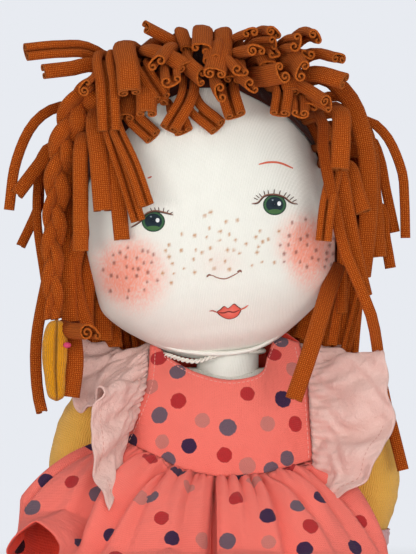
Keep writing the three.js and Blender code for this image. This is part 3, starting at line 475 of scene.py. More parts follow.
def joined(name, pieces):
    """Several meshes made one."""
    work_on(*pieces)
    bpy.ops.object.join()
    pieces[0].name = name
    pieces[0].data.name = name
    return pieces[0]


fabric_paint = jersey("fabric_paint", JERSEY_COLOUR, JERSEY_WALE, depth=0.1, painted=True, mottle=0.06)
EYE_RADII = (73, 65)  # in the enlarged drawing
circle = np.column_stack([np.cos(full_turn(40)), np.sin(full_turn(40))])
# share of the eye's size, how far the ring sinks, and colour
IRIS_RINGS = [
    (1.0, 0, "#33443c"), (0.95, 0, "#2a4034"), (0.9, 0, "#3a5f40"), (0.8, 1, "#46714a"),
    (0.74, -2, "#2d4a3c"), (0.69, -4, "#222f38"), (0.5, -5, "#26343c"), (0.25, -5, "#1f2b34"),
    (0.01, -5, "#1a242c"),
]
LASHES = {
    "left": [
        ((372, 450), (368, 420)), ((398, 452), (402, 424)), ((418, 458), (432, 438)),
        ((436, 464), (458, 452)), ((350, 448), (343, 422)), ((325, 448), (318, 424)),
    ],
    "right": [
        ((1035, 352), (1026, 318)), ((1056, 347), (1052, 312)), ((1088, 344), (1092, 308)),
        ((1120, 348), (1130, 316)), ((1148, 358), (1168, 328)), ((1168, 366), (1192, 340)),
        ((1186, 378), (1214, 356)), ((1203, 388), (1232, 374)), ((1015, 358), (996, 336)),
        ((1000, 366), (976, 346)), ((990, 376), (962, 362)), ((1215, 396), (1240, 404)),
    ],
}
LIDS = {
    "left": [
        (195, 548), (255, 510), (290, 465), (340, 445), (395, 452), (460, 468),
    ],
    "right": [
        (950, 398), (990, 392), (1030, 352), (1090, 342), (1150, 358), (1190, 388), (1228, 402),
    ],
}
for label, middle in (("left", (335, 511)), ("right", (1095, 407))):
    rings = [face_px(middle + circle * EYE_RADII * share + (0, sink)) for share, sink, _ in IRIS_RINGS]
    iris = paint_film("iris_" + label, rings, [c for _, _, c in IRIS_RINGS], lift=PAINT_LIFT)
    glow = face_px(middle + np.column_stack([circle[:, 0] * 40, 40 + circle[:, 1] * 13]))
    glint = face_px(middle + circle * (12, 14) + (27, -8))
    small_glint = face_px(middle + circle * (6, 5) + (-14, -30))
    films = [iris]
    lights = ((glow, "#4c7344", 1.6), (glint, "#f4f7f6", 2.2), (small_glint, "#93a0a8", 2.2))
    for rim, colour, lift in lights:
        middle = rim.mean(axis=0)
        shrinking = [rim, rim * 0.4 + middle * 0.6, rim * 0.02 + middle * 0.98]
        films.append(paint_film("glow", shrinking, [colour] * 3, lift=PAINT_LIFT * lift))
    films.append(paint_line("lid", LIDS[label], 1.9, "#8a5f4c", lift=PAINT_LIFT * 2.6))
    edge = np.array(LIDS[label]) + (0, 5)
    films.append(paint_line("lid_edge", edge, 1.0, "#3b2b2c", lift=PAINT_LIFT * 2.9))
    for root, tip in LASHES[label]:
        films.append(paint_line("lash", [root, tip], 0.9, "#5d463f", lift=PAINT_LIFT * 2.3))
    eye_film = joined("eye_" + label, films)
    belongs(eye_film, fabric_paint, "head")

# a stroke's name, its places in the enlarged drawing, width, colour and taper
BROWS = [
    ("brow_left", [(298, 240), (326, 229)], 1.6, "#c8614c", 0.2),
    ("brow_right", [(994, 153), (1060, 140), (1130, 145), (1210, 178)], 2.0, "#d9694f", 0.5),
]
# the same, with how far it lies over the cloth in place of the taper
NOSE = [
    ("nose", [(672, 852), (700, 848), (738, 864), (785, 870), (830, 852), (880, 824)], 1.2, "#a0705f", 1),
    ("nostril", [(668, 860), (682, 846), (698, 848)], 1.8, "#8f6253", 1.5),
    ("nostril", [(860, 828), (878, 818), (888, 830)], 1.8, "#8f6253", 1.5),
]
MOUTH_LINES = [
    ("lip_parting", [(740, 1080), (775, 1082), (806, 1074), (840, 1078), (878, 1062)], 1.2, "#7d302c", 2.2),
    ("mouth_left", [(684, 1072), (708, 1070), (740, 1082)], 1.3, "#b5564a", 1.8),
    ("mouth_right", [(874, 1064), (905, 1052), (930, 1034)], 1.4, "#d9694f", 1.8),
]
LIPS = [
    (736, 1080), (756, 1062), (780, 1042), (805, 1054), (838, 1028), (862, 1044), (882, 1062), (868, 1094),
    (842, 1114), (805, 1121), (768, 1108),
]


def strokes(lines):
    """Painted strokes, each at its own height over the cloth."""
    return [paint_line(*line, lift=PAINT_LIFT * over) for *line, over in lines]


brows = [paint_line(*line, taper=taper) for *line, taper in BROWS]
nose = joined("nose_line", strokes(NOSE))
lip_rim = smooth_line(face_px(LIPS), 48, closed=True)
lip_middle = face_px([(808, 1076)])[0]
lip_rings = [lip_middle + (lip_rim - lip_middle) * size for size in (1.06, 0.93, 0.96, 0.6, 0.02)]
lips = [
    paint_film("lip_rim", lip_rings[:2], ["#6b2f2c"] * 2),
    paint_film("lips", lip_rings[2:], ["#e8604f", "#f2705f", "#f58474"], lift=PAINT_LIFT * 1.5),
]
mouth = joined("mouth", lips + strokes(MOUTH_LINES))
for drawn in (*brows, nose, mouth):
    belongs(drawn, fabric_paint, "head")

# Hair. Rust jersey is cut into strips and pulled, so that both cut edges curl in to a double roll
# with a smooth round back. The strips are sewn to the head at one end, and their other ends are
# cut square and show the rolls. Each route starts at the scalp and was chosen one by one.
STRIP_CLOTH = 0.95
ROLL_TURNS = 1.3
ROLL_HEART = 0.45
SCALP_SHADE = 0.45  # of a strip's length, over which the shade between the roots fades out
# each strip: its width, the way that its round back faces at the free end, and its route as pixels
# of the photograph with a depth in millimetres, from the first part that shows to the free end
FRINGE = [
    (9.4, (0, 0.9, -0.4), (92, 52, -8), (60, 49, -18), (26, 52, -24)),
    (7.5, (0, -0.9, 0.3), (96, 66, -14), (70, 69, -20), (43, 72, -26)),
    (9, (-0.9, -0.3, 0.3), (104, 70, -20), (96, 78, -32), (86, 86, -44)),
    (8.4, (0.6, -0.3, 0.7), (178, 44, -14), (145, 26, -26)),
    (11.4, (0, 1, 0), (106, 54, -22), (108, 88, -43), (110, 131, -47)),
    (11.2, (0, -1, 0.3), (126, 47, -20), (128, 66, -44), (130, 93, -53)),
    (10, (-0.6, -0.2, 0.8), (166, 52, -36), (156, 64, -55)),
    (10, (0, 0, -1), (172, 66, -42), (173, 80, -59)),
    (9, (0.3, -0.5, 0.8), (148, 50, -26), (168, 56, -42), (186, 67, -51)),
    (9.4, (0, 1, 0), (142, 64, -34), (163, 97, -48)),
    (10, (0, -0.9, 0.4), (146, 90, -42), (146, 114, -53)),
    (9.4, (0, 1, 0), (130, 114, -36), (152, 137, -46)),
    (9.8, (0, 1, 0), (187, 92, -43), (168, 128, -54)),
    (9.4, (0, 1, 0), (176, 108, -40), (184, 131, -48)),
    (10, (0, 1, 0), (190, 100, -38), (217, 127, -50)),
    (7, (0, -1, 0.3), (182, 32, -12), (188, 50, -32)),
    (10.4, (0, -0.9, 0.5), (201, 31, -16), (200, 49, -46)),
    (9, (0.2, 0, -1), (214, 44, -36), (211, 59, -52)),
    (10.8, (0, -0.8, 0.6), (222, 48, -36), (216, 74, -59)),
    (9.8, (-1, 0, 0), (188, 66, -40), (202, 79, -54)),
    (9, (0, -1, 0.4), (222, 33, -18), (222, 55, -44)),
    (8.2, (0, -0.2, 1), (234, 41, -24), (250, 33, -44)),
    (8.2, (0.7, -0.2, 0.7), (260, 37, -20), (275, 34, -40)),
    (6.8, (1, -0.2, 0.3), (254, 47, -28), (273, 44, -46)),
    (9.6, (0.3, -0.2, 1), (240, 55, -36), (258, 51, -56)),
    (6, (0, 0, -1), (268, 50, -34), (275, 54, -50)),
    (9.4, (1, -0.2, -0.2), (281, 46, -33), (296, 41, -53)),
    (8.2, (0.8, -0.2, 0.6), (300, 39, -26), (316, 38, -45)),
    (7.4, (-0.3, 0, -1), (294, 54, -28), (307, 53, -46)),
    (10.8, (-1, -0.3, 0.3), (289, 60, -38), (303, 71, -58)),
    (10.8, (-0.8, -0.2, -0.5), (261, 75, -42), (282, 71, -60)),
    (9, (-0.1, 0, -1), (232, 60, -44), (242, 71, -60)),
    (9, (-0.6, 0, -0.8), (240, 76, -42), (253, 87, -58)),
    (9, (-0.3, -0.8, 0.6), (309, 74, -34), (345, 81, -45)),
    (9.6, (0.6, -0.2, 0.8), (308, 56, -24), (339, 59, -38)),
    (10, (1, -0.3, 0.3), (299, 91, -38), (327, 106, -56)),
    (10, (0, 0.8, -0.6), (281, 88, -42), (279, 113, -53)),
    (8.6, (-0.3, 0.2, -1), (296, 96, -38), (299, 113, -53)),
    (7.8, (0.1, -0.2, 1), (302, 98, -34), (311, 108, -48)),
    (10.6, (0, 0.8, -0.6), (228, 90, -44), (235, 115, -54)),
    (10, (-1, 0, -0.1), (216, 82, -44), (221, 93, -58)),
    (9, (0.3, -0.6, 0.6), (262, 60, -34), (268, 66, -46)),
    (9, (0, -0.6, 0.8), (236, 66, -38), (232, 80, -48)),
    (9, (0.3, -0.6, 0.6), (284, 80, -38), (290, 92, -46)),
    (9, (-0.3, -0.6, 0.6), (160, 84, -36), (158, 104, -44)),
    (9, (0, -1, 0.3), (110, 84, -26), (112, 116, -38)),
    (9, (0, -1, 0.3), (128, 100, -32), (124, 118, -42)),
]
HAIR_LEFT = [
    (9.6, (0, -1, 0), (95, 116, -30), (98, 160, -43), (102, 211, -47)),
    (7.6, (0, -1, 0), (82, 140, -34), (80, 200, -41), (80, 251, -43)),
    (7.8, (0.2, -1, 0), (112, 150, -38), (116, 190, -45), (121, 240, -47)),
    (7.2, (0, 1, 0), (109, 128, -42), (124, 175, -52), (138, 221, -55)),
    (7.6, (0, 1, 0), (116, 124, -42), (134, 165, -57), (148, 205, -61)),
    (5.4, (0, -1, 0), (66, 106, -6), (35, 122, -8), (16, 162, -8), (9, 210, -8)),
    (7, (0, -1, 0), (54, 148, -4), (40, 165, -6), (17, 195, -10)),
    (4.6, (0, -1, 0), (56, 146, 2), (40, 170, 4), (37, 220, 8), (45, 280, 8)),
    (5, (0, -1, 0), (44, 170, 10), (38, 205, 12), (30, 225, 10), (20, 246, 8)),
    (6, (0, -1, 0), (60, 200, 0), (52, 260, -2), (38, 335, -8), (38, 385, -12), (43, 412, -16)),
    (9, (0.4, -1, 0), (84, 225, -20), (72, 265, -16), (76, 300, -14), (86, 332, -14)),
    (9, (0, -1, 0), (92, 250, -12), (84, 290, -10), (82, 334, -8)),
    (9, (0, -1, 0), (98, 270, -4), (101, 300, -4), (102, 340, -4)),
    (8, (0, -1, 0), (66, 210, -16), (68, 280, -18), (70, 328, -18)),
    (8, (-0.5, -1, 0), (60, 180, 4), (60, 250, 4), (62, 318, 4)),
    (8, (-1, -0.5, 0), (76, 160, 6), (54, 200, 16), (50, 262, 18)),
    (9, (0, -1, 0), (112, 290, 2), (112, 320, 4), (114, 346, 6)),
    (8, (-1, 0, 0), (84, 130, 20), (58, 160, 24), (52, 215, 26), (56, 285, 22)),
    (8, (-1, 0, 0), (90, 110, 8), (64, 130, 10), (54, 170, 12), (54, 225, 14)),
]
HAIR_RIGHT = [
    (9.4, (0.4, -1, 0), (318, 78, -10), (345, 96, -16), (360, 130, -18), (367, 180, -18),
        (366, 225, -16), (360, 276, -12)),
    (5.8, (0, -1, 0), (322, 116, -36), (324, 150, -43), (333, 195, -45), (344, 245, -41),
        (358, 280, -37), (372, 315, -34), (378, 346, -20), (384, 392, -13), (394, 430, -13),
        (404, 470, -14)),
    (9.4, (-0.2, -1, 0), (338, 112, -28), (342, 136, -39), (340, 170, -44)),
    (8, (0.2, -1, 0), (346, 168, -24), (354, 190, -31), (362, 213, -34)),
    (8, (0, 1, 0), (336, 150, -30), (327, 205, -47), (323, 241, -49)),
    (7.6, (0, -1, 0), (337, 168, -36), (347, 215, -35), (356, 262, -32), (364, 296, -30)),
    (5, (0, -1, 0), (360, 121, 0), (385, 135, 2), (401, 170, 4), (404, 200, 4), (405, 238, 4)),
    (5, (0, -1, 0), (366, 138, 6), (380, 156, 8), (387, 190, 8), (396, 232, 8)),
    (8, (0.3, -1, 0), (366, 150, 0), (374, 190, 0), (380, 257, -2)),
    (5.6, (0, -1, 0), (378, 205, 6), (386, 240, 6), (391, 268, 6)),
    (8.4, (-0.3, -1, 0), (338, 268, -12), (327, 300, -26), (312, 350, -41), (295, 400, -45)),
    (5.4, (0, 1, 0), (361, 270, -4), (356, 310, -4), (346, 352, -6)),
    (5, (0, -1, 0), (347, 275, -6), (340, 305, -8), (333, 345, -8)),
    (5, (0, -1, 0), (346, 250, -2), (345, 300, -2), (342, 345, -2)),
    (9, (0, -1, 0), (330, 262, 4), (314, 300, 8), (302, 338, 10)),
    (9, (0, -1, 0), (340, 240, 6), (330, 290, 6), (322, 335, 6)),
    (8, (1, -0.5, 0), (345, 130, 8), (362, 170, 12), (364, 230, 12), (356, 290, 10)),
    (8, (1, 0, 0), (340, 110, 16), (368, 150, 22), (372, 210, 24), (362, 275, 22)),
    (8, (1, 0, 0), (335, 96, 4), (362, 120, 6), (374, 160, 8), (374, 215, 8)),
]
HAIR_BACK = []
hair_rng = random.Random(11)


def uneven(*places):
    """The route with each point after the root moved a little at random."""
    return (places[0], *[tuple(v + hair_rng.uniform(-2, 2) for v in place) for place in places[1:]])


for i in range(15):
    x = -62 + i * 8.9
    out = 1 - 0.3 * abs((x + 2) / 60)
    low = hair_rng.uniform(0, 26)
    route = uneven((x * 0.7, 34 * out, 224), (x * 0.95, 52 * out, 212), (x, 54 * out + 2, 176),
        (x * 0.98, 52 * out, 142 - low), (x * 0.95, 49 * out, 124 - low))
    HAIR_BACK.append((9, (x / 60, 1, 0), *route))
for i in range(12):
    x = -52 + i * 9
    out = 1 - 0.3 * abs((x + 4) / 52)
    route = uneven((x * 0.5, 20, 252), (x * 0.85, 41 * out, 241), (x, 53 * out, 224),
        (x * 1.04, 58 * out, 196 - hair_rng.uniform(0, 22)))
    HAIR_BACK.append((9, (x / 60, 1, 0), *route))
for i in range(9):
    x = -32 + i * 7.4
    route = uneven((x * 0.5, -4, 260), (x * 0.9, 16, 261 - abs(x) * 0.2), (x * 1.3, 42, 245 - abs(x) * 0.3),
        (x * 1.5, 56, 220 - hair_rng.uniform(0, 14)))
    HAIR_BACK.append((9.4, (x / 60, 0.8, 0.6), *route))
for i in range(13):
    x = -45 + i * 7.4
    route = ((x * 0.8, 30, 175), (x * 0.95, 42, 165), (x, 40, 140), (x * 0.95, 37, 119))
    HAIR_BACK.append((9, (x / 60, 1, 0), *route))

head_points = np.vstack([face_points, own_points(head_back)])
head_faces = [list(p.vertices) for p in face.data.polygons]
head_faces += [[v + len(face_points) for v in p.vertices] for p in head_back.data.polygons]
scalp_tree = BVHTree.FromPolygons(head_points.tolist(), head_faces)


def on_scalp(point):
    """The point of the scalp straight out from the middle of the head towards a point."""
    way = Vector(np.array(point) - HEAD_MIDDLE).normalized()
    hit = scalp_tree.ray_cast(Vector(HEAD_MIDDLE), way)[0]
    if hit is None:  # between the two panels, in the seam
        hit = scalp_tree.find_nearest(Vector(HEAD_MIDDLE) + way * HEAD_WIDTH / 2)[0]
    return np.array(hit)


# Two layers down each side of the head: the heights on the scalp at which they start and end, in
# degrees, how far they stand off it, and whether they hang on below the head.
SIDE_LAYERS = ((44, -6, 3.4, True), (76, -14, 7.5, False))
for side, first in ((0, 1), (1, -1)):
    for turn in range(-6, 58, 8):
        angle = math.radians(180 * side + first * turn)
        for start, low, stand, hangs in SIDE_LAYERS:
            route = []
            for height in np.radians(np.linspace(start, low, 4) + hair_rng.uniform(-4, 4)):
                level = math.cos(height)
                way = np.array([level * math.cos(angle), level * math.sin(angle), math.sin(height)])
                route.append(on_scalp(HEAD_MIDDLE + way) + way * (stand + hair_rng.uniform(-0.6, 0.6)))
            if hangs:
                end = (146 if turn < 20 else 136) + hair_rng.uniform(-8, 8)
                route.append(route[-1] * (1, 1, 0) + (0, 0, end))
            HAIR_BACK.append((9, (math.cos(angle), math.sin(angle), 0), *[tuple(place) for place in route]))


def rolled_outline(width, lean=0.0):
    """Across a strip: the middle line of its cloth, from one roll's heart over the back to the other's.
    Where lean isn't 0, the two rolls aren't of one size."""
    sides = []
    for radius in ((width - STRIP_CLOTH) / 4 * (1 + lean), (width - STRIP_CLOTH) / 4 * (1 - lean)):
        turns = max(0.4, min(ROLL_TURNS + lean, (radius - ROLL_HEART) / (1.3 * STRIP_CLOTH)))
        steps = 7 + int(7 * turns)
        angle = math.pi / 2 - np.linspace(0, 2 * math.pi * turns, steps)
        shrunk = radius - np.linspace(0, max(radius - ROLL_HEART, 0.1), steps)
        sides.append(np.column_stack([radius + shrunk * np.cos(angle), shrunk * np.sin(angle)]))
    return np.vstack([sides[1][::-1] * (-1, 1), [(0, (sides[0][0, 1] + sides[1][0, 1]) * 0.55)], sides[0]])


def carried_frames(path, out):
    """Directions across and outwards at each point of a path, turned as little as the path allows."""
    ahead = unit(np.gradient(path, axis=0))
    normal = np.array(out, float)
    outs = []
    for step in ahead:
        normal = unit(normal - step * (normal @ step))
        outs.append(normal)
    outs = np.array(outs)
    return np.cross(ahead, outs), outs


def strip(name, path, outline, back):
    """A band of cloth whose outline across is swept along a path, with its back turned one way at the
    free end. Its cut ends are marked for colour, and its length from the root for painted shade."""
    across, outs = carried_frames(path, (0.1, -1, 0.2))
    roll = math.atan2(-across[-1] @ np.array(back), outs[-1] @ np.array(back))
    turned = np.array([[math.cos(roll), -math.sin(roll)], [math.sin(roll), math.cos(roll)]])
    line = outline @ turned.T
    side = unit(np.gradient(line, axis=0))
    normal = np.column_stack([-side[:, 1], side[:, 0]])
    half = normal * STRIP_CLOTH / 2
    loop = np.vstack([line + half, (line - half)[::-1]])
    grid = path[:, None] + loop[None, :, :1] * across[:, None] + loop[None, :, 1:] * outs[:, None]
    made = surface(name, grid, around=True, band=True)
    rows = len(path)
    mark_points(made, "cut", np.repeat(np.arange(rows) == rows - 1, len(loop)))
    # painted shade, darkest at the root, where the strips crowd together on the scalp
    shade = np.clip(1 - np.linspace(0, 1, rows) / SCALP_SHADE, 0, 1)
    mark_points(made, "painted_root_shade", np.repeat(shade, len(loop)))
    return made


CUT_EDGE = 0.7


def end_stations(path):
    """The path with one more point just before its end, so that the cut edge's colour stays narrow."""
    last = path[-1] - path[-2]
    return np.vstack([path[:-1], path[-1] - unit(last) * CUT_EDGE, path[-1:]])


def rust_jersey():
    """Cotton jersey coloured in the piece with dye, seen on its looped side: matt, with a warm fuzz where
    light grazes it.
    """
    material, add, shader = new_material("rust_cotton_jersey", roughness=0.95, sheen=0.25, specular=0.05)
    set_inputs(shader, {"Sheen Roughness": 0.45, "Sheen Tint": rgba("#f0a468")})
    uv = add("UVMap", uv_map="cloth")
    # rows of small loops: wales with courses across them
    wale = add("TexWave", {"Vector": uv, "Scale": BANDS / 0.95,
        "Distortion": 2.2, "Detail": 2.0, "Detail Scale": 2.0})
    course = add("TexWave", {"Vector": uv, "Scale": BANDS / 0.85,
        "Distortion": 2.2, "Detail": 2.0, "Detail Scale": 2.0}, bands_direction="Y")
    loops = add("Math", {0: wale, 1: course}, operation="MULTIPLY")
    speckle = add("TexNoise", {"Vector": uv, "Scale": 2.6, "Detail": 3.0})
    height = add("Math", {0: speckle, 1: 1.4, 2: loops}, operation="MULTIPLY_ADD")
    tone = add("Math", {0: loops, 1: 0.42, 2: speckle}, operation="MULTIPLY_ADD")
    ramp = add("ValToRGB", {"Fac": tone})
    ramp.color_ramp.elements[0].position = 0.3
    ramp.color_ramp.elements[0].color = rgba("#781f00")
    ramp.color_ramp.elements[1].position = 1.0
    ramp.color_ramp.elements[1].color = rgba("#f0883a")
    ramp.color_ramp.elements.new(0.6).color = rgba("#a8480e")
    # painted shade: each strip is darkened from its root over part of its length, where the strips lie
    # close together at the scalp
    deep = add("Attribute", attribute_name="painted_root_shade")
    dye_and_root_shade = add("Mix", {0: deep, 6: ramp, 7: rgba("#5a1602")}, data_type="RGBA")
    cut = add("Attribute", attribute_name="cut")
    fray = add("Math", {0: cut, 1: 0.5}, operation="MULTIPLY")
    rim = add("Mix", {0: fray, 6: dye_and_root_shade.outputs[2], 7: rgba("#bd6527")}, data_type="RGBA")
    bump = add("Bump", {"Height": height, "Distance": 0.3 * MM, "Strength": 1.0})
    set_inputs(shader, {"Base Color": rim.outputs[2], "Normal": bump})
    return material


rust = rust_jersey()
ROLL_SPREAD = 0.25  # how far a roll's back may turn from where it should face
TO_PARTING = (0.75, 0.1, 0.95)  # where a strip is sewn on, as a share of the way to its first place
ROOT_SINK = 0.02


def hair_strips(name, strips, stations, in_pixels=True):
    """One piece of all these strips. Each runs from its root on the scalp along its route."""
    made = []
    for width, back, *route in strips:
        route = [at_depth(*place) for place in route] if in_pixels else np.array(route, float)
        inward = (np.array(route[0]) - HEAD_MIDDLE) * (TO_PARTING if in_pixels else 1)
        root = on_scalp(HEAD_MIDDLE + inward)
        path = end_stations(smooth_line([root - inward * ROOT_SINK, *route], stations))
        back = np.array(back) + [hair_rng.uniform(-1, 1) * ROLL_SPREAD for _ in range(3)]
        made.append(strip(name, path, rolled_outline(width, hair_rng.uniform(-0.25, 0.25)), back))
    return joined(name, made)


def thickened(piece, cloth):
    """Gives a sheet the thickness of its cloth."""
    work_on(piece)
    wall = piece.modifiers.new("cloth", "SOLIDIFY")
    wall.thickness = cloth * MM
    wall.offset = 0
    count = len(piece.data.vertices)
    bpy.ops.object.modifier_apply(modifier="cloth")
    mark_points(piece, "wrong_side", np.arange(len(piece.data.vertices)) >= count)
    return piece


# the sewn-down lengths of the strips lie side by side on the scalp, down to the hairline
CAP_STAND = 1.2
CAP_RIDGES = 34
# degrees round the head from its side by way of the face, and height in degrees
HAIRLINE = [
    (-180, 5), (-150, 30), (-120, 50), (-90, 56), (-60, 52), (-30, 34), (0, 6), (45, -22), (90, -30),
    (135, -22), (180, 5),
]
cap_turn = np.linspace(-180, 180, 200, endpoint=False)
low = np.radians(np.interp(cap_turn, *zip(*HAIRLINE)))
cap_turn = np.radians(cap_turn)
up = np.linspace(0, 1, 40)[:, None]
cap_height = low + (math.radians(88) - low) * up
cap_level = np.cos(cap_height)
cap_parts = [np.cos(cap_turn) * cap_level, np.sin(cap_turn) * cap_level, np.sin(cap_height)]
cap_way = np.stack(cap_parts, axis=-1) @ head_turn.T
ridges = CAP_STAND + 1.6 * np.abs(np.sin(cap_turn * CAP_RIDGES / 2)) * np.sin(up * math.pi) ** 0.3
cap_grid = np.array([[on_scalp(HEAD_MIDDLE + way) for way in row] for row in cap_way])
cap_grid = cap_grid + cap_way * ridges[..., None]
hair_cap = thickened(surface("hair_cap", cap_grid, around=True, flip=True), 0.8)
# painted shade: the cap is coloured a dark rust, so that the gaps between the strips look deep
cap_painted_shade_cloth = jersey("rust_jersey_painted_shade", "#3c1203", 1.0)
belongs(hair_cap, cap_painted_shade_cloth, "head")

for name, strips, stations, node in (
    ("fringe", FRINGE, 14, "hair_fringe"), ("hair_strips_left", HAIR_LEFT, 18, "hair_left"),
    ("hair_strips_right", HAIR_RIGHT, 22, "hair_right"), ("hair_strips_back", HAIR_BACK, 18, "hair_back"),
):
    made = hair_strips(name, strips, stations, in_pixels=name != "hair_strips_back")
    belongs(made, rust, "head", [node])

# Braid. Three strips are plaited from the temple down, thinner towards the end, where a mustard rib
# band is tied round them. Two strips come out of the tie, one of them curled up to the side.
BRAID_ROUTE = [
    (-44, -20, 241), (-58, -27, 241.5), (-64.5, -28, 233), (-69, -28, 219), (-72, -27, 202),
    (-73.5, -27, 184), (-74, -27, 166), (-74, -28, 150), (-74, -29, 141),
]
BRAID_WIDTHS = [(0, 13.5), (0.2, 13.5), (0.45, 11), (0.7, 9.6), (1, 7.4)]  # share of its length, and width
BRAID_TURNS = 2.6
BRAID_PIVOT = (-61, -27, 239)
braid_path = smooth_line(BRAID_ROUTE, 150)
braid_across, braid_outs = carried_frames(braid_path, (-0.25, -1, 0.2))
braid_share = np.linspace(0, 1, len(braid_path))
braid_width = np.interp(braid_share, *zip(*BRAID_WIDTHS))
plaits = []
for k in range(3):
    phase = 2 * math.pi * (k / 3 + BRAID_TURNS * braid_share)
    sideways = (braid_width * 0.27 * np.sin(phase))[:, None]
    outwards = (braid_width * 0.2 * np.sin(2 * phase))[:, None]
    path = braid_path + braid_across * sideways + braid_outs * outwards
    across, outs = carried_frames(path, braid_outs[0])
    angle = full_turn(16)
    # each strip swells where it comes to the outside, and is drawn tight where it passes behind
    half = (braid_width * (0.2 + 0.12 * np.abs(np.sin(phase)) + 0.03 * np.sin(2 * phase)))[:, None, None]
    wide = across[:, None] * (half * np.cos(angle)[None, :, None])
    thick = braid_outs[:, None] * (half * 0.78 * np.sin(angle)[None, :, None])
    plaits.append(surface("plait", path[:, None] + (wide + thick), around=True, capped=True))
# width, the size of one roll over the other, the way the back faces, and the route as pixels and depth
BRAID_ENDS = [
    (9.4, 0, (0.2, -1, 0), (70, 322, -27), (74, 360, -29), (70, 397, -30)),
    (11.5, 0.4, (0.5, -0.3, 1), (64, 330, -29), (78, 334, -34), (94, 335, -48)),
]
for width, lean, back, *route in BRAID_ENDS:
    route = smooth_line([at_depth(*place) for place in route], 16)
    plaits.append(strip("braid_end", end_stations(route), rolled_outline(width, lean), back))
braid = joined("braid_plaits", plaits)
BRAID_BODY = ("head", "braid", (BRAID_PIVOT[0], BRAID_PIVOT[1], 238), (BRAID_PIVOT[0], BRAID_PIVOT[1], 205))
belongs(braid, rust, BRAID_BODY, ["braid"])

TIE_LENGTH = 36
TIE_TOP = (-72.2, -34.5, 141)
# share of its length, half width and half thickness
TIE_ROWS = [
    (0, 0.6, 0.5), (0.03, 3.2, 2.2), (0.12, 4.8, 3.3), (0.3, 5.7, 3.8), (0.5, 5.5, 3.7),
    (0.68, 4.7, 3.5), (0.84, 4.3, 3.2), (0.95, 3.4, 2.6), (1, 0.6, 0.5),
]
rows = smooth_line(TIE_ROWS, 40)
angle = full_turn(48)
# the band's two edges meet down its front in a shallow groove
groove = 1 - 0.5 * np.exp(-(((angle - 1.53 * math.pi) / 0.12) ** 2))
bend = -0.9 * np.sin(rows[:, 0] * math.pi)
tie_grid = np.stack([
    TIE_TOP[0] + rows[:, 1:2] * np.cos(angle) + bend[:, None],
    TIE_TOP[1] + rows[:, 2:3] * np.sin(angle) * groove,
    np.repeat(TIE_TOP[2] - rows[:, :1] * TIE_LENGTH, len(angle), axis=1)], axis=-1)
tie = surface("braid_band", tie_grid, around=True, capped=True, flip=True)
# painted shadow: the seam between the two edges is coloured darker, as it lies in shadow
in_seam = np.exp(-(((angle - 1.53 * math.pi) / 0.09) ** 2))[:, None]
round_tint = np.array(linear("#e0940a")) * (1 - in_seam) + np.array(linear("#6a4306")) * in_seam
tie_tint = np.vstack([np.tile(round_tint, (len(rows), 1)), np.tile(linear("#e0940a"), (2, 1))])
mark_points(tie, "paint", tie_tint)
mustard_knit = jersey("mustard_terry_knit", "#e0940a", 0.95, depth=0.5, painted=True, mottle=0.2)
belongs(tie, mustard_knit, "braid", ["braid_tie"])

bpy.ops.object.select_all(action="DESELECT")
KNOT_PLACE = (-67.4, -37.5, 130)
KNOT_RADIUS = 1.5
bpy.ops.mesh.primitive_uv_sphere_add(segments=16, ring_count=10, radius=KNOT_RADIUS * MM,
    location=metres(KNOT_PLACE))
knot = bpy.context.object
knot.name = "tie_knot"
bpy.ops.object.mode_set(mode="EDIT")
bpy.ops.mesh.select_all(action="SELECT")
bpy.ops.transform.resize(value=(1.2, 1, 0.85))
bpy.ops.transform.vertex_random(offset=0.25 * MM, seed=3)
bpy.ops.object.mode_set(mode="OBJECT")
bpy.ops.object.shade_smooth()
bpy.ops.object.transform_apply(location=True)
pink_thread, _, pink_shader = new_material("pink_cotton_thread", roughness=0.8)
set_inputs(pink_shader, {"Base Color": rgba("#d2486e")})
belongs(knot, pink_thread, "braid", ["braid_knot"])

# Neck. A short stuffed stub of the same jersey joins the head to the body, and a twisted cotton
# cord lies loose round it under the chin.
NECK_X = 4
NECK_ROWS = [(104, 13.2), (110, 14.4), (117, 14), (124, 13.6), (130, 13.2), (136, 10)]  # height and radius
angle = full_turn(48)
neck_rows = smooth_line(NECK_ROWS, 30)
crease = 0.25 * np.sin(5 * angle + 1) * np.sin(neck_rows[:, :1] / 2.4)
neck_radius = neck_rows[:, 1:] + crease
neck_grid = np.stack([NECK_X + neck_radius * np.cos(angle), neck_radius * np.sin(angle),
    np.repeat(neck_rows[:, :1], len(angle), axis=1)], axis=-1)
neck = surface("neck", neck_grid, around=True, capped=True)
belongs(neck, white_jersey, "neck", ["neck_skin"])

CORD_ROUTE = [
    (20, 0, 125.6), (15, -11, 126), (5, -15, 125.8), (-3, -17, 123.8), (-9, -18.4, 122),
    (-15, -18, 122.2), (-22, -13.5, 124), (-28, -3, 125), (-22, 8, 125), (-9, 15, 124.4), (5, 16.5, 124),
    (15, 12, 124),
]
CORD_PLY = 0.65  # one ply's radius
PLY_SPREAD = 0.8  # the plies are pressed together a little
CORD_LAY = 4.2  # the length of one twist
cord_path = smooth_line(CORD_ROUTE, 260, closed=True)
cord_length = np.linalg.norm(np.diff(cord_path, axis=0), axis=1).sum()
twists = round(cord_length / CORD_LAY)
ahead = unit(np.roll(cord_path, -1, axis=0) - np.roll(cord_path, 1, axis=0))
level = unit(np.cross(ahead, (0, 0, 1)))
rise = np.cross(level, ahead)
plies = []
for k in range(2):
    phase = (np.arange(len(cord_path)) / len(cord_path) * twists * 2 * math.pi + k * math.pi)[:, None]
    centre = cord_path + CORD_PLY * PLY_SPREAD * (level * np.cos(phase) + rise * np.sin(phase))
    tube = rings_round(centre, level, rise, CORD_PLY, 8)
    plies.append(surface("ply", np.concatenate([tube, tube[:1]]), around=True, flip=True))
neck_cord = joined("twisted_cord", plies)
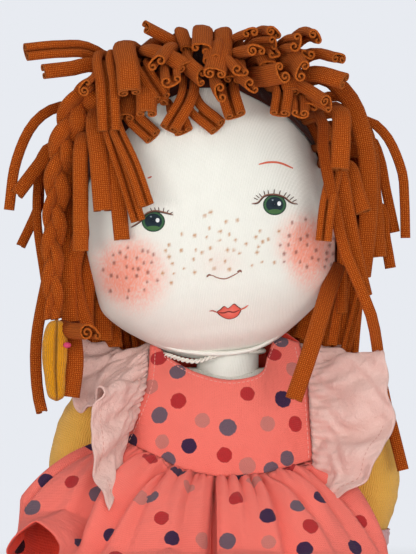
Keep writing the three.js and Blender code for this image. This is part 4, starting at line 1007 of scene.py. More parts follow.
cotton_cord = jersey("twisted_cotton", "#efe9dc", 0.5, depth=0.1, mottle=0.08)
belongs(neck_cord, cotton_cord, "collar_cord", ["neck_cord"])

# Body. A front and a back panel of jersey are stuffed to a pear shape. The legs and arms are
# jointed to it by strong thread. Loose fibre fills every skin.
CAD_MERGE = 0.01 * MM


def softened(name, node):
    """A copy of a solid with its facets rounded."""
    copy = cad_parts[node].data.copy()
    made = bpy.data.objects.new(name, copy)
    bpy.context.scene.collection.objects.link(made)
    work_on(made)
    bpy.ops.object.mode_set(mode="EDIT")
    bpy.ops.mesh.select_all(action="SELECT")
    bpy.ops.mesh.remove_doubles(threshold=CAD_MERGE)
    bpy.ops.mesh.tris_convert_to_quads()
    bpy.ops.object.mode_set(mode="OBJECT")
    rounding = made.modifiers.new("rounding", "SUBSURF")
    rounding.levels = rounding.render_levels = 1
    bpy.ops.object.modifier_apply(modifier="rounding")
    bpy.ops.object.shade_smooth()
    return made


def plain_cloth(name, colour, weave, depth, roughness=0.95):
    """Cloth on a piece without a flat pattern: a weave in the object's own space."""
    material, add, shader = new_material(name, roughness, sheen=0.15)
    place = add("TexCoord").outputs["Object"]
    weft = add("TexWave", {"Vector": place, "Scale": BANDS / (weave * MM),
        "Distortion": 1.0, "Detail": 2.0}, bands_direction="X")
    fuzz = add("TexNoise", {"Vector": place, "Scale": 900.0, "Detail": 4.0})
    height = add("Math", {0: fuzz, 1: 1.0, 2: weft}, operation="MULTIPLY_ADD")
    bump = add("Bump", {"Height": height, "Distance": depth * MM, "Strength": 0.8})
    set_inputs(shader, {"Base Color": rgba(colour), "Normal": bump})
    return material


body_jersey = plain_cloth("body_jersey", JERSEY_COLOUR, JERSEY_WALE, 0.12)
fibre = plain_cloth("polyester_fibre", "#f7f6f2", 2.5, 1.0)
thread = plain_cloth("waxed_thread", "#f1ece0", 0.5, 0.1, roughness=0.7)
for name, node in (("body_front", "torso_front_panel"), ("body_back", "torso_back_panel")):
    panel = softened(name, node)
    belongs(panel, body_jersey, "torso", [node])
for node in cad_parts.values():
    if "stuffing" in node.name or "thread" in node.name:
        node.data.materials.clear()
        node.data.materials.append(fibre if "stuffing" in node.name else thread)

# Legs. Each is a jersey tube stuffed from hip to toe, which lies forward on the floor and turns up
# in a small foot. Its seam runs down the back.
LEG_X = 24
HIP_Y = -15
LEG_RADIUS = 20
HIP_Z = 17.9
LEG_LENGTH = 165
LEG_FLAT = 0.05  # the leg lies flat at this height over the floor
# share of the length, height over the hip and radius as a share of the thigh's
LEG_ROWS = [
    (-0.118, 0, 0.05), (-0.1, 0, 0.5), (-0.05, 0, 0.84), (0.02, 0, 0.98), (0.28, 0, 0.97),
    (0.6, -3, 0.82), (0.88, -6, 0.67), (1.0, -2, 0.68), (1.04, 14, 0.63), (1.035, 24, 0.5),
    (1.03, 29, 0.25), (1.03, 31, 0.03),
]


def limb(stations, across, rows=70, wrinkle=0.0):
    """A stuffed limb: rings square to a smooth path, each station a point and a radius."""
    line = smooth_line(stations, rows)
    path, radius = line[:, :3], line[:, 3]
    ahead = unit(np.gradient(path, axis=0))
    side = unit(np.cross(across, ahead))
    up = np.cross(ahead, side)
    angle = full_turn(40)
    share = np.linspace(0, 1, rows)[:, None]
    fold = wrinkle * (np.sin(2 * angle + 60 * share) * np.sin(3 * angle - 23 * share)
        + 0.5 * np.sin(5 * angle + 91 * share))
    size = np.maximum(radius[:, None] * (1 + fold * np.clip(share * (1 - share) * 8, 0, 1)), 0.3)
    round_way = side[:, None] * np.cos(angle)[:, None] + up[:, None] * np.sin(angle)[:, None]
    return path[:, None] + size[..., None] * round_way


for side, label in ((-1, "left"), (1, "right")):
    stations = [(side * LEG_X, HIP_Y - share * LEG_LENGTH, HIP_Z + rise, LEG_RADIUS * size)
        for share, rise, size in LEG_ROWS]
    grid = limb(stations, (1, 0, 0), wrinkle=0.006)
    grid[..., 2] = np.maximum(grid[..., 2], LEG_FLAT)
    leg = surface("leg_" + label, grid, around=True, capped=True)
    belongs(leg, white_jersey, "leg_" + label, ["leg_skin_" + label])

# Arms. A mustard rib sleeve is the arm's own skin, stuffed and sewn to a small jersey hand, with a
# narrow linen binding round the wrist. The doll's right arm is pressed closer to the body.
ARM_INNER_X = 42.4
ARM_RADIUS = 15
SHOULDER_Y = 4
SHOULDER_Z = 107
WRIST_Z = 44
# out from the shoulder, back, height, and radius as a share of the arm's
ARM_ROWS = [
    (-1, 0, 109, 0.03), (-0.5, 0, 109, 0.4), (1, 0, 108, 0.66), (6, 0, 105, 0.84), (13, 0, 99, 0.97),
    (20, 0, 86, 1.04), (23.5, 0, 68, 1.04), (23, -1, 55, 0.9), (21, -2, WRIST_Z, 0.74),
]
HAND_ROWS = [
    (21, -2, WRIST_Z, 0.72), (19.5, -3, WRIST_Z - 6, 0.74), (18, -4, WRIST_Z - 12, 0.8),
    (16, -5.5, WRIST_Z - 20, 0.7), (15, -6, WRIST_Z - 25, 0.48), (14.3, -6.5, WRIST_Z - 28.5, 0.04),
]
CUFF_ROWS = [
    (21.2, -2, WRIST_Z + 2.6, 0.86), (21, -2, WRIST_Z + 2, 0.9), (21, -2, WRIST_Z - 2, 0.9),
    (20.8, -2, WRIST_Z - 2.6, 0.86),
]
PRESSED_IN = {"left": 0.86, "right": 1.0}
rib_jersey = jersey("mustard_rib_jersey", "#efb550", 1.05, depth=0.3, mottle=0.05)
linen_binding = plain_cloth("linen_binding", "#d9a9a8", 0.8, 0.3)
for side, label in ((-1, "left"), (1, "right")):
    squeeze = PRESSED_IN[label]
    thick = ARM_RADIUS * (0.5 + squeeze / 2)

    def stations(rows, size=1):
        return [(side * (ARM_INNER_X + out * squeeze), SHOULDER_Y + back, z, size * thick * share)
            for out, back, z, share in rows]

    parts = (
        ("sleeve_skin_", ARM_ROWS, 64, rib_jersey, "mustard_rib_jersey", ["sleeve_" + label], 0.015),
        ("palm_", HAND_ROWS, 24, white_jersey, "off_white_jersey", ["hand_" + label], 0.006),
        ("wrist_binding_", CUFF_ROWS, 10, linen_binding, "pink_linen", ["cuff_" + label], 0.02),
    )
    inside = limb(stations(ARM_ROWS, 0.9), (0, 1, 0), rows=30)
    filling = surface("arm_filling_" + label, inside, around=True, capped=True)
    belongs(filling, fibre, "arm_" + label, ["arm_stuffing_" + label])
    for name, rows, count, material, slot_name, nodes, wrinkle in parts:
        grid = limb(stations(rows), (0, 1, 0), rows=count, wrinkle=wrinkle)
        skin = surface(name + label, grid, around=True, capped=True)
        belongs(skin, material, "arm_" + label, nodes)

# Dress. Plain-weave cotton, printed with uneven dots in four colours. The bodice is two panels with
# a scooped neck, topstitched in pale thread, and the skirt is gathered into the waist seam.
DRESS_COLOUR = "#f97a6c"
DRESS_CLOTH = 0.7
DOT_RADIUS = 3.5
DOT_SPACING = 20
DOT_SHIFT = 3  # of a dot from its place in the pattern
DOT_CLEARANCE = 14  # between two dots' middles, at least
DOT_INKS = {"r": "#b5272b", "n": "#231b42", "s": "#655764", "d": "#cc7a70"}
DRESS_MAGNIFIED = 2.83  # the print was measured on an enlarged photograph
PHOTO_DOTS = [
    (450, 1015, "r"), (503, 1053, "s"), (428, 1095, "d"), (505, 1135, "r"), (452, 1175, "s"),
    (573, 1190, "d"), (645, 1210, "s"), (535, 1262, "n"), (460, 1250, "d"), (375, 1250, "n"),
    (700, 1115, "r"), (800, 1130, "n"), (757, 1200, "d"), (835, 1200, "r"), (635, 1288, "r"),
    (812, 1297, "s"), (775, 1005, "r"), (795, 968, "s"), (830, 1047, "d"), (700, 1318, "d"),
    (475, 1303, "s"), (505, 1337, "n"), (678, 1355, "n"), (668, 1410, "r"), (530, 1380, "d"),
    (430, 1408, "s"), (398, 1408, "d"), (458, 1467, "r"), (487, 1523, "n"), (313, 1515, "n"),
    (575, 1530, "d"), (645, 1532, "s"), (758, 1460, "n"), (842, 1432, "s"), (878, 1490, "r"),
    (760, 1535, "d"), (720, 1368, "d"), (768, 1330, "s"), (820, 1322, "r"), (907, 1408, "n"),
    (1018, 1478, "r"), (1003, 1550, "n"), (863, 1555, "n"), (260, 1257, "n"), (205, 1268, "s"),
    (205, 1365, "r"), (130, 1362, "n"), (275, 1398, "s"), (92, 1437, "s"), (228, 1537, "n"),
    (425, 1295, "r"),
]
# height, half width and half depth of the dress on the body
DRESS_ROWS = [
    (58, 47, 34.5), (66, 46.6, 33.5), (72, 46.4, 33), (85, 45.2, 31.5), (97, 44, 28.8), (107, 43, 25.5),
    (115, 42, 21.5), (122, 41.2, 15.5), (128, 40.4, 9), (134, 39.5, 2),
]
DRESS_SQUARENESS = 2.5
dress_profile = smooth_line(DRESS_ROWS, 200)
BODICE_TOP = [
    (-31, 128.5), (-27.5, 128), (-22, 123), (-10.8, 117.1), (2.9, 113.8), (14, 114.8), (19.7, 117.8),
    (21.8, 124), (26, 131.5), (36, 129.5),
]
BODICE_WAIST = [
    (-42, 86), (-36, 84), (-28.3, 80.6), (-16, 74.8), (-3, 71.7), (7, 71.3), (22, 73.2), (32, 75.6),
    (42, 78),
]
BODICE_LEFT = [(-31, 128.5), (-32, 113.5), (-36.3, 100.4), (-43, 86)]
BODICE_RIGHT = [(36, 129.5), (39.4, 113.5), (40.8, 104), (42.6, 78)]


def on_dress(flat, front=True):
    """Points of the front view, x and z, laid on the dressed body."""
    x, z = flat[..., 0], flat[..., 1]
    width = np.interp(z, dress_profile[:, 0], dress_profile[:, 1])
    depth = np.interp(z, dress_profile[:, 0], dress_profile[:, 2])
    share = np.clip(np.abs(x) / width, 0, 0.995)
    y = depth * (1 - share**DRESS_SQUARENESS) ** (1 / DRESS_SQUARENESS)
    return np.stack([x, -y if front else y, z], axis=-1)


def patch(top, bottom, left, right, columns, rows):
    """A smooth grid between four edges."""
    u = np.linspace(0, 1, columns)[None, :, None]
    v = np.linspace(0, 1, rows)[:, None, None]
    a, b = smooth_line(top, columns)[None], smooth_line(bottom, columns)[None]
    c, d = smooth_line(left, rows)[:, None], smooth_line(right, rows)[:, None]
    corners = (1 - v) * ((1 - u) * a[:, :1] + u * a[:, -1:]) + v * ((1 - u) * b[:, :1] + u * b[:, -1:])
    return (1 - v) * a + v * b + (1 - u) * c + u * d - corners


def printed_cotton():
    """Plain-weave cotton with screen-printed dots: matt, with ink that ends in a slightly ragged edge. Its
    wrong side has painted shade and light, a darker, deeper red.
    """
    material, add, shader = new_material("printed_plain_weave_cotton", roughness=0.9, sheen=0.1)
    cloth = add("UVMap", uv_map="cloth")
    dots = add("UVMap", uv_map="dots")
    ink = add("Attribute", attribute_name="ink").outputs["Color"]
    ragged = add("TexNoise", {"Vector": cloth, "Scale": 0.5, "Detail": 2.0})
    away = add("VectorMath", {0: dots}, operation="LENGTH")
    edge = add("Math", {0: ragged, 1: 0.26, 2: away.outputs["Value"]}, operation="MULTIPLY_ADD")
    inside = add("MapRange", {"Value": edge, "From Min": 1.1, "From Max": 1.17,
        "To Min": 0.97, "To Max": 0.0})
    # warp and weft, drawn twice as coarse as the real threads so that they show
    warp = add("TexWave", {"Vector": cloth, "Scale": BANDS / 0.8, "Distortion": 1.5, "Detail": 2.0})
    weft = add("TexWave", {"Vector": cloth, "Scale": BANDS / 0.8, "Distortion": 1.5,
        "Detail": 2.0}, bands_direction="Y")
    weave = add("Math", {0: warp, 1: weft}, operation="MULTIPLY")
    crush = add("TexNoise", {"Vector": cloth, "Scale": 0.16, "Detail": 3.0, "Roughness": 0.45})
    height = add("Math", {0: crush, 1: 6.0, 2: weave}, operation="MULTIPLY_ADD")
    fade = add("Math", {0: weave, 1: 0.1, 2: 0.95}, operation="MULTIPLY_ADD")
    mixed = add("Mix", {0: inside, 6: rgba(DRESS_COLOUR), 7: ink}, data_type="RGBA")
    faded = add("VectorMath", {0: mixed.outputs[2], "Scale": fade}, operation="SCALE")
    # painted shade and light: on its wrong side the cloth is coloured a darker, deeper red, standing in for
    # light that shines through it
    wrong_side = add("Attribute", attribute_name="wrong_side")
    painted_through_light = add("VectorMath", {0: faded, 1: (0.92, 0.3, 0.2)}, operation="MULTIPLY")
    sides = add("Mix", {0: wrong_side, 6: faded, 7: painted_through_light}, data_type="RGBA")
    bump = add("Bump", {"Height": height, "Distance": 0.22 * MM, "Strength": 0.9})
    set_inputs(shader, {"Base Color": sides.outputs[2], "Normal": bump})
    return material


coral_print = printed_cotton()
photo_dot_places = np.array([(x / DRESS_MAGNIFIED, y / DRESS_MAGNIFIED) for x, y, _ in PHOTO_DOTS])


def print_dots(piece, seed):
    """Marks on each face of the cloth where its nearest dot lies and that dot's ink. Dots that show in
    the photograph are where it has them, and the rest follow the print's spacing."""
    mesh = piece.data
    dice = random.Random(seed)
    points = own_points(piece)
    faces = np.array([p.vertices for p in mesh.polygons])
    tree = BVHTree.FromPolygons(points.tolist(), faces.tolist())
    uv = np.zeros(len(mesh.loops) * 2, np.float32)
    mesh.uv_layers["cloth"].data.foreach_get("uv", uv)
    uv = uv.reshape(-1, 4, 2)
    middles, centres = uv.mean(axis=1), points[faces].mean(axis=1)
    normals = np.array([p.normal for p in mesh.polygons])
    dots = []
    for (px, py), (_, _, ink) in zip(photo_dot_places, PHOTO_DOTS):
        hit, _, index, _ = tree.ray_cast(Vector(eye), Vector(sight(px, py)))
        if hit is not None:
            dots.append((np.array(hit), index, ink))
    low, high = middles.min(axis=0), middles.max(axis=0)
    rows, columns = (int(n) + 2 for n in (high - low)[::-1] / DOT_SPACING)
    seen = in_photo(centres)
    for i in range(rows):
        for j in range(columns):
            across = (j + 0.5 * (i % 2)) * DOT_SPACING + dice.uniform(-DOT_SHIFT, DOT_SHIFT)
            down = i * DOT_SPACING * 0.87 + dice.uniform(-DOT_SHIFT, DOT_SHIFT)
            place = low + (across, down)
            ink = dice.choice("rrnssd")
            away = np.hypot(*(middles - place).T)
            near = int(away.argmin())
            off_cloth = away[near] > 3
            if off_cloth or any(np.linalg.norm(centres[near] - dot) < DOT_CLEARANCE for dot, _, _ in dots):
                continue
            px, py = seen[near]
            if 0 < px < PHOTO_SIZE[0] and py < PHOTO_SIZE[1]:
                hit = tree.ray_cast(Vector(eye), Vector(sight(px, py)))[0]
                if hit is not None and np.linalg.norm(np.array(hit) - centres[near]) < 6:
                    continue  # the photograph shows the cloth bare here
            dots.append((centres[near], near, ink))
    offset = np.full((len(faces), 4, 2), 9.0, np.float32)
    inks = np.tile(np.array(rgba(DOT_INKS["r"]), np.float32), (len(faces), 4, 1))
    closest = np.full(len(faces), np.inf)
    for centre, index, ink in dots:
        away = np.linalg.norm(centres - centre, axis=1)
        patch_faces = (away < DOT_RADIUS + 3) & (np.hypot(*(middles - middles[index]).T) < 3 * DOT_RADIUS)
        if not patch_faces.any():
            continue
        out = unit(normals[patch_faces].mean(axis=0))
        side = unit(np.cross(out, (0, 0, 1)))
        up = np.cross(side, out)
        take = patch_faces & (away < closest)
        closest[take] = away[take]
        gap = points[faces[take]] - centre
        flat = np.stack([gap @ side, gap @ up], axis=-1)
        # measured over the cloth, so that a dot keeps its size where it runs into a fold
        flat *= (np.linalg.norm(gap, axis=-1) / np.maximum(np.linalg.norm(flat, axis=-1), 1e-6))[..., None]
        offset[take] = flat / (DOT_RADIUS * dice.uniform(0.92, 1.1))
        inks[take] = rgba(DOT_INKS[ink])
    mesh.uv_layers.new(name="dots").data.foreach_set("uv", offset.ravel())
    mesh.color_attributes.new("ink", "FLOAT_COLOR", "CORNER").data.foreach_set("color", inks.ravel())


def stitches(name, line, lift, length=1.5, gap=0.6, radius=0.17):
    """A row of running stitches along a line of points, raised by lift, which is a direction."""
    steps = lengths_along(line)
    made = []
    for start in np.arange(0, steps[-1] - length, length + gap):
        at = start + np.array([0, 0.15, 0.5, 0.85, 1]) * length
        path = np.column_stack([np.interp(at, steps, (line + lift)[:, k]) for k in range(3)])
        across, outs = carried_frames(path, (0.1, -1, 0.2))
        dip = -outs * (np.array([0.8, 0, 0, 0, 0.8])[:, None] * radius)
        size = np.array([0.4, 0.9, 1, 0.9, 0.4]) * radius
        made.append(surface(name, rings_round(path + dip, across, outs, size, 6), around=True, capped=True))
    return joined(name, made)


def facing(grid):
    """Unit normals of a grid of points, to the viewer's side of the front."""
    down = np.gradient(grid, axis=0)
    along = np.gradient(grid, axis=1)
    normal = np.cross(down, along)
    normal /= np.maximum(np.linalg.norm(normal, axis=2), 1e-9)[..., None]
    return normal


pale_thread = plain_cloth("pale_topstitch_thread", "#f2a79c", 0.5, 0.05)
bodice_flat = patch(BODICE_TOP, BODICE_WAIST, BODICE_LEFT, BODICE_RIGHT, 64, 40)
bodice_grid = on_dress(bodice_flat)
share = np.linspace(0, 1, 40)[:, None]
pull = np.sin(bodice_flat[..., 0] * 0.32 + 1.3 * np.sin(bodice_flat[..., 1] * 0.11)) * share**2
pull = pull + 0.6 * np.sin(bodice_flat[..., 0] * 0.61 + bodice_flat[..., 1] * 0.1) * share**4
bodice_grid[..., 1] -= 0.55 * pull
bodice_front = surface("bodice_front_cloth", bodice_grid, flip=True)
print_dots(bodice_front, seed=4)
thickened(bodice_front, DRESS_CLOTH)
belongs(bodice_front, coral_print, "torso", ["bodice_front"])
BACK_WAIST = [(-42, 86), (-40, 79), (-33, 75), (-20, 71.8), (0, 70.8), (20, 70.8), (33, 72.8), (42, 78)]
# the back's neckline is higher
back_top = [(x, z + 11 * max(0, 1 - abs(x) / 30) ** 0.5) for x, z in BODICE_TOP]
back_flat = patch(back_top, BACK_WAIST, BODICE_LEFT, BODICE_RIGHT, 64, 40)
bodice_back = surface("bodice_back_cloth", on_dress(back_flat, front=False))
print_dots(bodice_back, seed=5)
thickened(bodice_back, DRESS_CLOTH)
belongs(bodice_back, coral_print, "torso", ["bodice_back"])

# Buttons. Two of them close the bodice at the back. They are turned from cream resin with a raised
# rim and four holes, and are sewn on with a cross of coral thread.
BUTTON_HEIGHTS = (103, 86)
# radius and height over the cloth, from the middle of the front over the rim to that of the underside
BUTTON_SHAPE = [
    (0.01, 1.5), (2.4, 1.5), (2.9, 1.6), (3.3, 2.1), (3.9, 2.3), (4.6, 2.05), (4.95, 1.4), (4.8, 0.7),
    (4.2, 0.3), (0.01, 0.3),
]
BUTTON_HOLE = 0.55
HOLE_PLACES = ((1.1, 1.1), (-1.1, 1.1), (-1.1, -1.1), (1.1, -1.1))
THREAD_RADIUS = 0.3


def resin():
    """Cast resin, turned and tumbled: smooth, with a faint cloud and a soft gloss."""
    material, add, shader = new_material("cast_cream_resin", roughness=0.32, specular=0.5)
    place = add("TexCoord").outputs["Object"]
    cloud = add("TexNoise", {"Vector": place, "Scale": 320.0, "Detail": 2.0})
    ramp = add("ValToRGB", {"Fac": cloud})
    ramp.color_ramp.elements[0].color = rgba("#dfcdb4")
    ramp.color_ramp.elements[1].color = rgba("#f4ead9")
    scratch = add("TexNoise", {"Vector": place, "Scale": 1500.0, "Detail": 3.0})
    wear = add("MapRange", {"Value": scratch, "To Min": 0.25, "To Max": 0.42})
    set_inputs(shader, {"Base Color": ramp, "Roughness": wear})
    return material


cream_resin = resin()
button_thread = plain_cloth("coral_button_thread", "#e8786c", 0.5, 0.05)
for name, height in zip(("button_upper", "button_lower"), BUTTON_HEIGHTS):
    seat, above, below = (on_dress(np.array([0.0, height + rise]), front=False) for rise in (0, 3, -3))
    up = unit(above - below)
    across = np.array([1.0, 0, 0])
    out = np.cross(up, across)
    out *= np.sign(out[1])
    seat = seat + out * DRESS_CLOTH / 2
    ring = full_turn(40)[:, None]
    round_way = across * np.cos(ring) + up * np.sin(ring)
    turned = np.array([seat + round_way * radius + out * rise for radius, rise in BUTTON_SHAPE])
    disc = surface("resin_" + name, turned, around=True, capped=True)
    bpy.ops.object.select_all(action="DESELECT")
    for x, z in HOLE_PLACES:
        middle = seat + across * x + up * z + out * 1.2
        turn = Vector(out).to_track_quat("Z", "Y").to_euler()
        bpy.ops.mesh.primitive_cylinder_add(vertices=16, radius=BUTTON_HOLE * MM, depth=4 * MM,
            location=metres(middle), rotation=turn)
        drill = bpy.context.object
        cut = disc.modifiers.new("hole", "BOOLEAN")
        cut.object = drill
        cut.operation = "DIFFERENCE"
        bpy.context.view_layer.objects.active = disc
        bpy.ops.object.modifier_apply(modifier="hole")
        bpy.data.objects.remove(drill)
    belongs(disc, cream_resin, "torso", [name])
    loops = []
    for a, b in ((0, 2), (1, 3)):
        start, end = (seat + across * HOLE_PLACES[k][0] + up * HOLE_PLACES[k][1] for k in (a, b))
        over = (start + end) / 2 + out * (2.1 + 0.3 * a)
        path = [start + out * 0.5, start + out * 1.7, over, end + out * 1.7, end + out * 0.5]
        path = smooth_line(path, 14)
        cross, outs = carried_frames(path, np.cross(end - start, out))
        loop = rings_round(path, cross, outs, THREAD_RADIUS, 8)
        loops.append(surface("loop", loop, around=True, capped=True))
    belongs(joined("thread_" + name, loops), button_thread, "torso")

normals = facing(bodice_grid)
normals *= np.sign(-normals[..., 1:2])
STITCH_LIFT = 0.45
neck_line = bodice_grid[1][6:-6] * 0.6 + bodice_grid[2][6:-6] * 0.4
seams = [
    stitches("neck_stitches", neck_line, normals[1][6:-6] * STITCH_LIFT),
    stitches("left_stitches", bodice_grid[2:, 2], normals[2:, 2] * STITCH_LIFT),
    stitches("right_stitches", bodice_grid[2:, -3], normals[2:, -3] * STITCH_LIFT),
]
topstitch = joined("bodice_topstitch", seams)
belongs(topstitch, pale_thread, "torso")

# Skirt. It is gathered all round, has a deep inverted fold in the middle of its front, and lies
# over the thighs. Each front corner stands out like a wing before the arm, and on the doll's right
# the wing is lifted, so that one sees into it. It is cut as two halves that lap in the deep fold.
# Points from the middle of the front round by the doll's left side. The cloth falls from the waist
# outwards, and from the end of that fall it drops to the hem.
SKIRT_WAIST = [
    (-3, -33, 71.5), (9, -32.6, 71.7), (20, -30.5, 73), (29, -26, 75), (36, -19.5, 76.5),
    (40, -13, 77.4), (42, -8, 78), (43, -3, 78), (43, 2, 78), (41, 12, 77), (34, 21, 74), (20, 29, 72),
    (0, 32, 72), (-20, 29, 73), (-34, 21, 76), (-41, 12, 80), (-43, 3, 84), (-43.2, -1, 85),
    (-43, -5, 86), (-42.5, -9, 86), (-41.5, -12, 86), (-40, -15, 85.4), (-37, -19, 84.2), (-32, -24, 82),
    (-24, -29, 78.5), (-13, -32, 73.8),
]
SKIRT_FALL = [
    (-3, -63, 40), (13, -68, 41), (29, -70, 41), (47, -64, 41), (61, -54, 41), (72, -42, 42),
    (72, -30, 40), (58, -20, 44), (46.8, -5, 46), (47, 18, 44), (42, 38, 42), (22, 48, 44), (0, 50, 44),
    (-22, 48, 44), (-42, 39, 42), (-46.5, 18, 44), (-46.8, -4, 52), (-59, -15, 66), (-77, -20, 71),
    (-88, -29, 61), (-85, -39, 57), (-68, -42, 56), (-56, -45, 52), (-59, -60, 46), (-42, -67, 42),
    (-20, -69, 41),
]
SKIRT_HEM = [
    (-3, -106, 32), (13, -114, 35), (30, -116, 35), (56, -104, 27), (78, -84, 20), (88, -56, 14),
    (85, -34, 6), (66, -23, 4), (47.5, -6, 5), (50, 24, 3), (50, 58, 3), (25, 70, 3), (0, 66, 3),
    (-25, 70, 3), (-50, 60, 3), (-52, 26, 3), (-47.5, -6, 5), (-62, -16, 5), (-84, -24, 8),
    (-95, -38, 30), (-92, -52, 45), (-80, -60, 52), (-70, -64, 44), (-71, -84, 30), (-48, -108, 33),
    (-24, -115, 35),
]
HEM_LIFT = 0.6  # over the floor
FALL_SHARE = 0.55  # of the length, from the waist to the end of the fall
SKIRT_ROWS = 60
SKIRT_COLUMNS = 520
GATHERS = 72
BIG_FOLDS = 13


def round_ring(points, count):
    """A closed curve in which every control point keeps its own share of the turn."""
    closed = np.array(points[-1:] + points + points[:2], float)
    spread = np.linspace(0, len(points), count + 1)[:-1]
    cell = spread.astype(int)
    f = (spread - cell)[:, None]
    return through(*[closed[cell + k] for k in range(4)], f)


def bent(start, end, out, sag, t):
    """From start to end by way of a corner, which is a share of the way out and a share of the way down."""
    corner = start + (end - start) * (out, out, sag)
    return start * (1 - t) ** 2 + corner * 2 * t * (1 - t) + end * t**2


def setting_in(distance, over):
    """A weight that grows from 0 to 1 over this distance."""
    return np.clip(distance / over, 0, 1)


waist, fall, hem = (round_ring(points, SKIRT_COLUMNS) for points in (SKIRT_WAIST, SKIRT_FALL, SKIRT_HEM))
down = np.linspace(0, 1, SKIRT_ROWS)[:, None]
t = down[..., None]
upper = bent(waist, fall, 0.6, 0.08, np.minimum(t / FALL_SHARE, 1))
lower = bent(fall, hem, 0.15, 0.6, np.clip((t - FALL_SHARE) / (1 - FALL_SHARE), 0, 1))
skirt_grid = np.where(t < FALL_SHARE, upper, lower)
turn = full_turn(SKIRT_COLUMNS)[None, :]
wander = 0.6 * np.sin(3 * turn + 1) + 0.4 * np.sin(7 * turn + 2)
gather = (np.abs(np.sin(GATHERS * turn / 2 + 2.5 * wander)) - 0.6) * setting_in(down, 0.03)
at_back = np.exp(-(((turn - 2.9) / 0.85) ** 2))
gather = gather * np.exp(-down / (0.11 + 0.05 * np.sin(9 * turn) + 0.5 * at_back)) * 2
ridge = 1 - np.abs(np.cos(BIG_FOLDS * turn / 2 + 0.35 * wander + 0.2 * down)) * 1.6
folds = ridge * (0.65 + 0.35 * np.sin(5 * turn + 2)) * 2.4 * setting_in(down, 0.15)
folds = folds * np.exp(-down * 0.5) * (1 + 2.6 * at_back)
small = np.sin(31 * turn + 5 * wander + 4 * down) * 0.8 * setting_in(down, 0.1) * np.exp(-down / 0.5)
around_skirt = np.roll(skirt_grid, -1, axis=1) - np.roll(skirt_grid, 1, axis=1)
normals = unit(np.cross(np.gradient(skirt_grid, axis=0), around_skirt))
if (normals * skirt_grid * (1, 1, 0)).sum() < 0:
    normals = -normals
PLEAT_DEPTH = 7
PLEAT_WIDTH = 0.014
from_middle = np.where(turn > math.pi, turn - 2 * math.pi, turn) - 0.02 + 0.05 * down
pleat = -PLEAT_DEPTH * np.exp(-((from_middle / (PLEAT_WIDTH * (1 + down))) ** 2)) * setting_in(down, 0.06)
# the edges of the fold stand a little proud of it
lips = 1.5 * np.exp(-(((np.abs(from_middle) - 0.075) / 0.045) ** 2)) * setting_in(down, 0.1)
# folds that run out from the waist: place at the waist and at the hem, counted in the points above,
# depth, width, and how far down they start and end
SKIRT_CREASES = [
    (-1.75, -3.1, 5, 0.2, 0.03, 0.8), (-1.6, -2.2, 2.6, 0.16, 0.05, 0.5),
    (1.75, 2.3, 4.2, 0.2, 0.03, 0.75), (2.1, 4.2, 3.4, 0.18, 0.03, 0.45), (2.9, 5, 3, 0.16, 0.03, 0.4),
    (0.9, 1.1, 2.2, 0.14, 0.02, 0.35), (-0.75, -1.0, 2.2, 0.14, 0.02, 0.3),
    (-2.9, -4.2, 3.4, 0.2, 0.04, 0.7), (-1.2, -1.5, 1.6, 0.1, 0.02, 0.22),
    (0.5, 0.55, 1.8, 0.1, 0.02, 0.2), (1.35, 1.5, 1.8, 0.1, 0.02, 0.25), (3.7, 5.6, 2.6, 0.2, 0.04, 0.6),
    (-6.2, -6.6, 4, 0.2, 0.05, 0.9), (-7.1, -7.4, 3, 0.2, 0.05, 0.8), (8.5, 8.4, 4, 0.3, 0.05, 0.9),
    (11, 11.2, 4, 0.3, 0.05, 0.9), (-9.8, -10, 4, 0.3, 0.05, 0.9),
]
creased = np.zeros((SKIRT_ROWS, SKIRT_COLUMNS))
for at_waist, at_hem, depth, width, start, reach in SKIRT_CREASES:
    line = (at_waist + (at_hem - at_waist) * down) * 2 * math.pi / len(SKIRT_WAIST)
    away = (turn - line + math.pi) % (2 * math.pi) - math.pi
    away = away / (width * (0.7 + 0.6 * down) * 2 * math.pi / len(SKIRT_WAIST))
    fade = setting_in(down, start) * setting_in(reach + 0.2 - down, 0.3)
    away = away * np.sign(at_waist - at_hem + 0.001)
    creased = creased - depth * fade * np.where(away > 0, np.exp(-(away**2) * 4), np.exp(-(away**2) * 0.4))
skirt_grid = skirt_grid + normals * (gather + folds + small + pleat + lips + creased)[..., None]
skirt_grid[..., 2] = np.maximum(skirt_grid[..., 2], HEM_LIFT)
# between the hips and the arms the skirt lies flat on the body
HIP_WIDTHS = [(50, 44.7), (58, 43.5), (66, 42.3), (76, 40.8)]  # height and half width
hip_width = np.interp(skirt_grid[..., 2], *zip(*HIP_WIDTHS))
beside = (np.abs(skirt_grid[..., 0]) > 34) & (np.abs(skirt_grid[..., 1]) < 24) & (skirt_grid[..., 2] < 76)
pushed_out = np.sign(skirt_grid[..., 0]) * np.maximum(np.abs(skirt_grid[..., 0]), hip_width)
skirt_grid[..., 0] = np.where(beside, pushed_out, skirt_grid[..., 0])
half = SKIRT_COLUMNS // 2
LAP = 5  # columns by which the halves overlap
halves = (
    ("skirt_right_half", np.arange(0, half + LAP), "leg_right", 21),
    ("skirt_left_half", np.arange(half, SKIRT_COLUMNS + LAP) % SKIRT_COLUMNS, "leg_left", 22),
)
for name, columns, leg_body, seed in halves:
    cloth = surface(name, skirt_grid[:, columns], flip=True)
    print_dots(cloth, seed)
    thickened(cloth, DRESS_CLOTH)
    across_hip = ("torso", leg_body, (0, HIP_Y - 12, 60), (0, HIP_Y - 52, 50))
    belongs(cloth, coral_print, across_hip, ["skirt"])

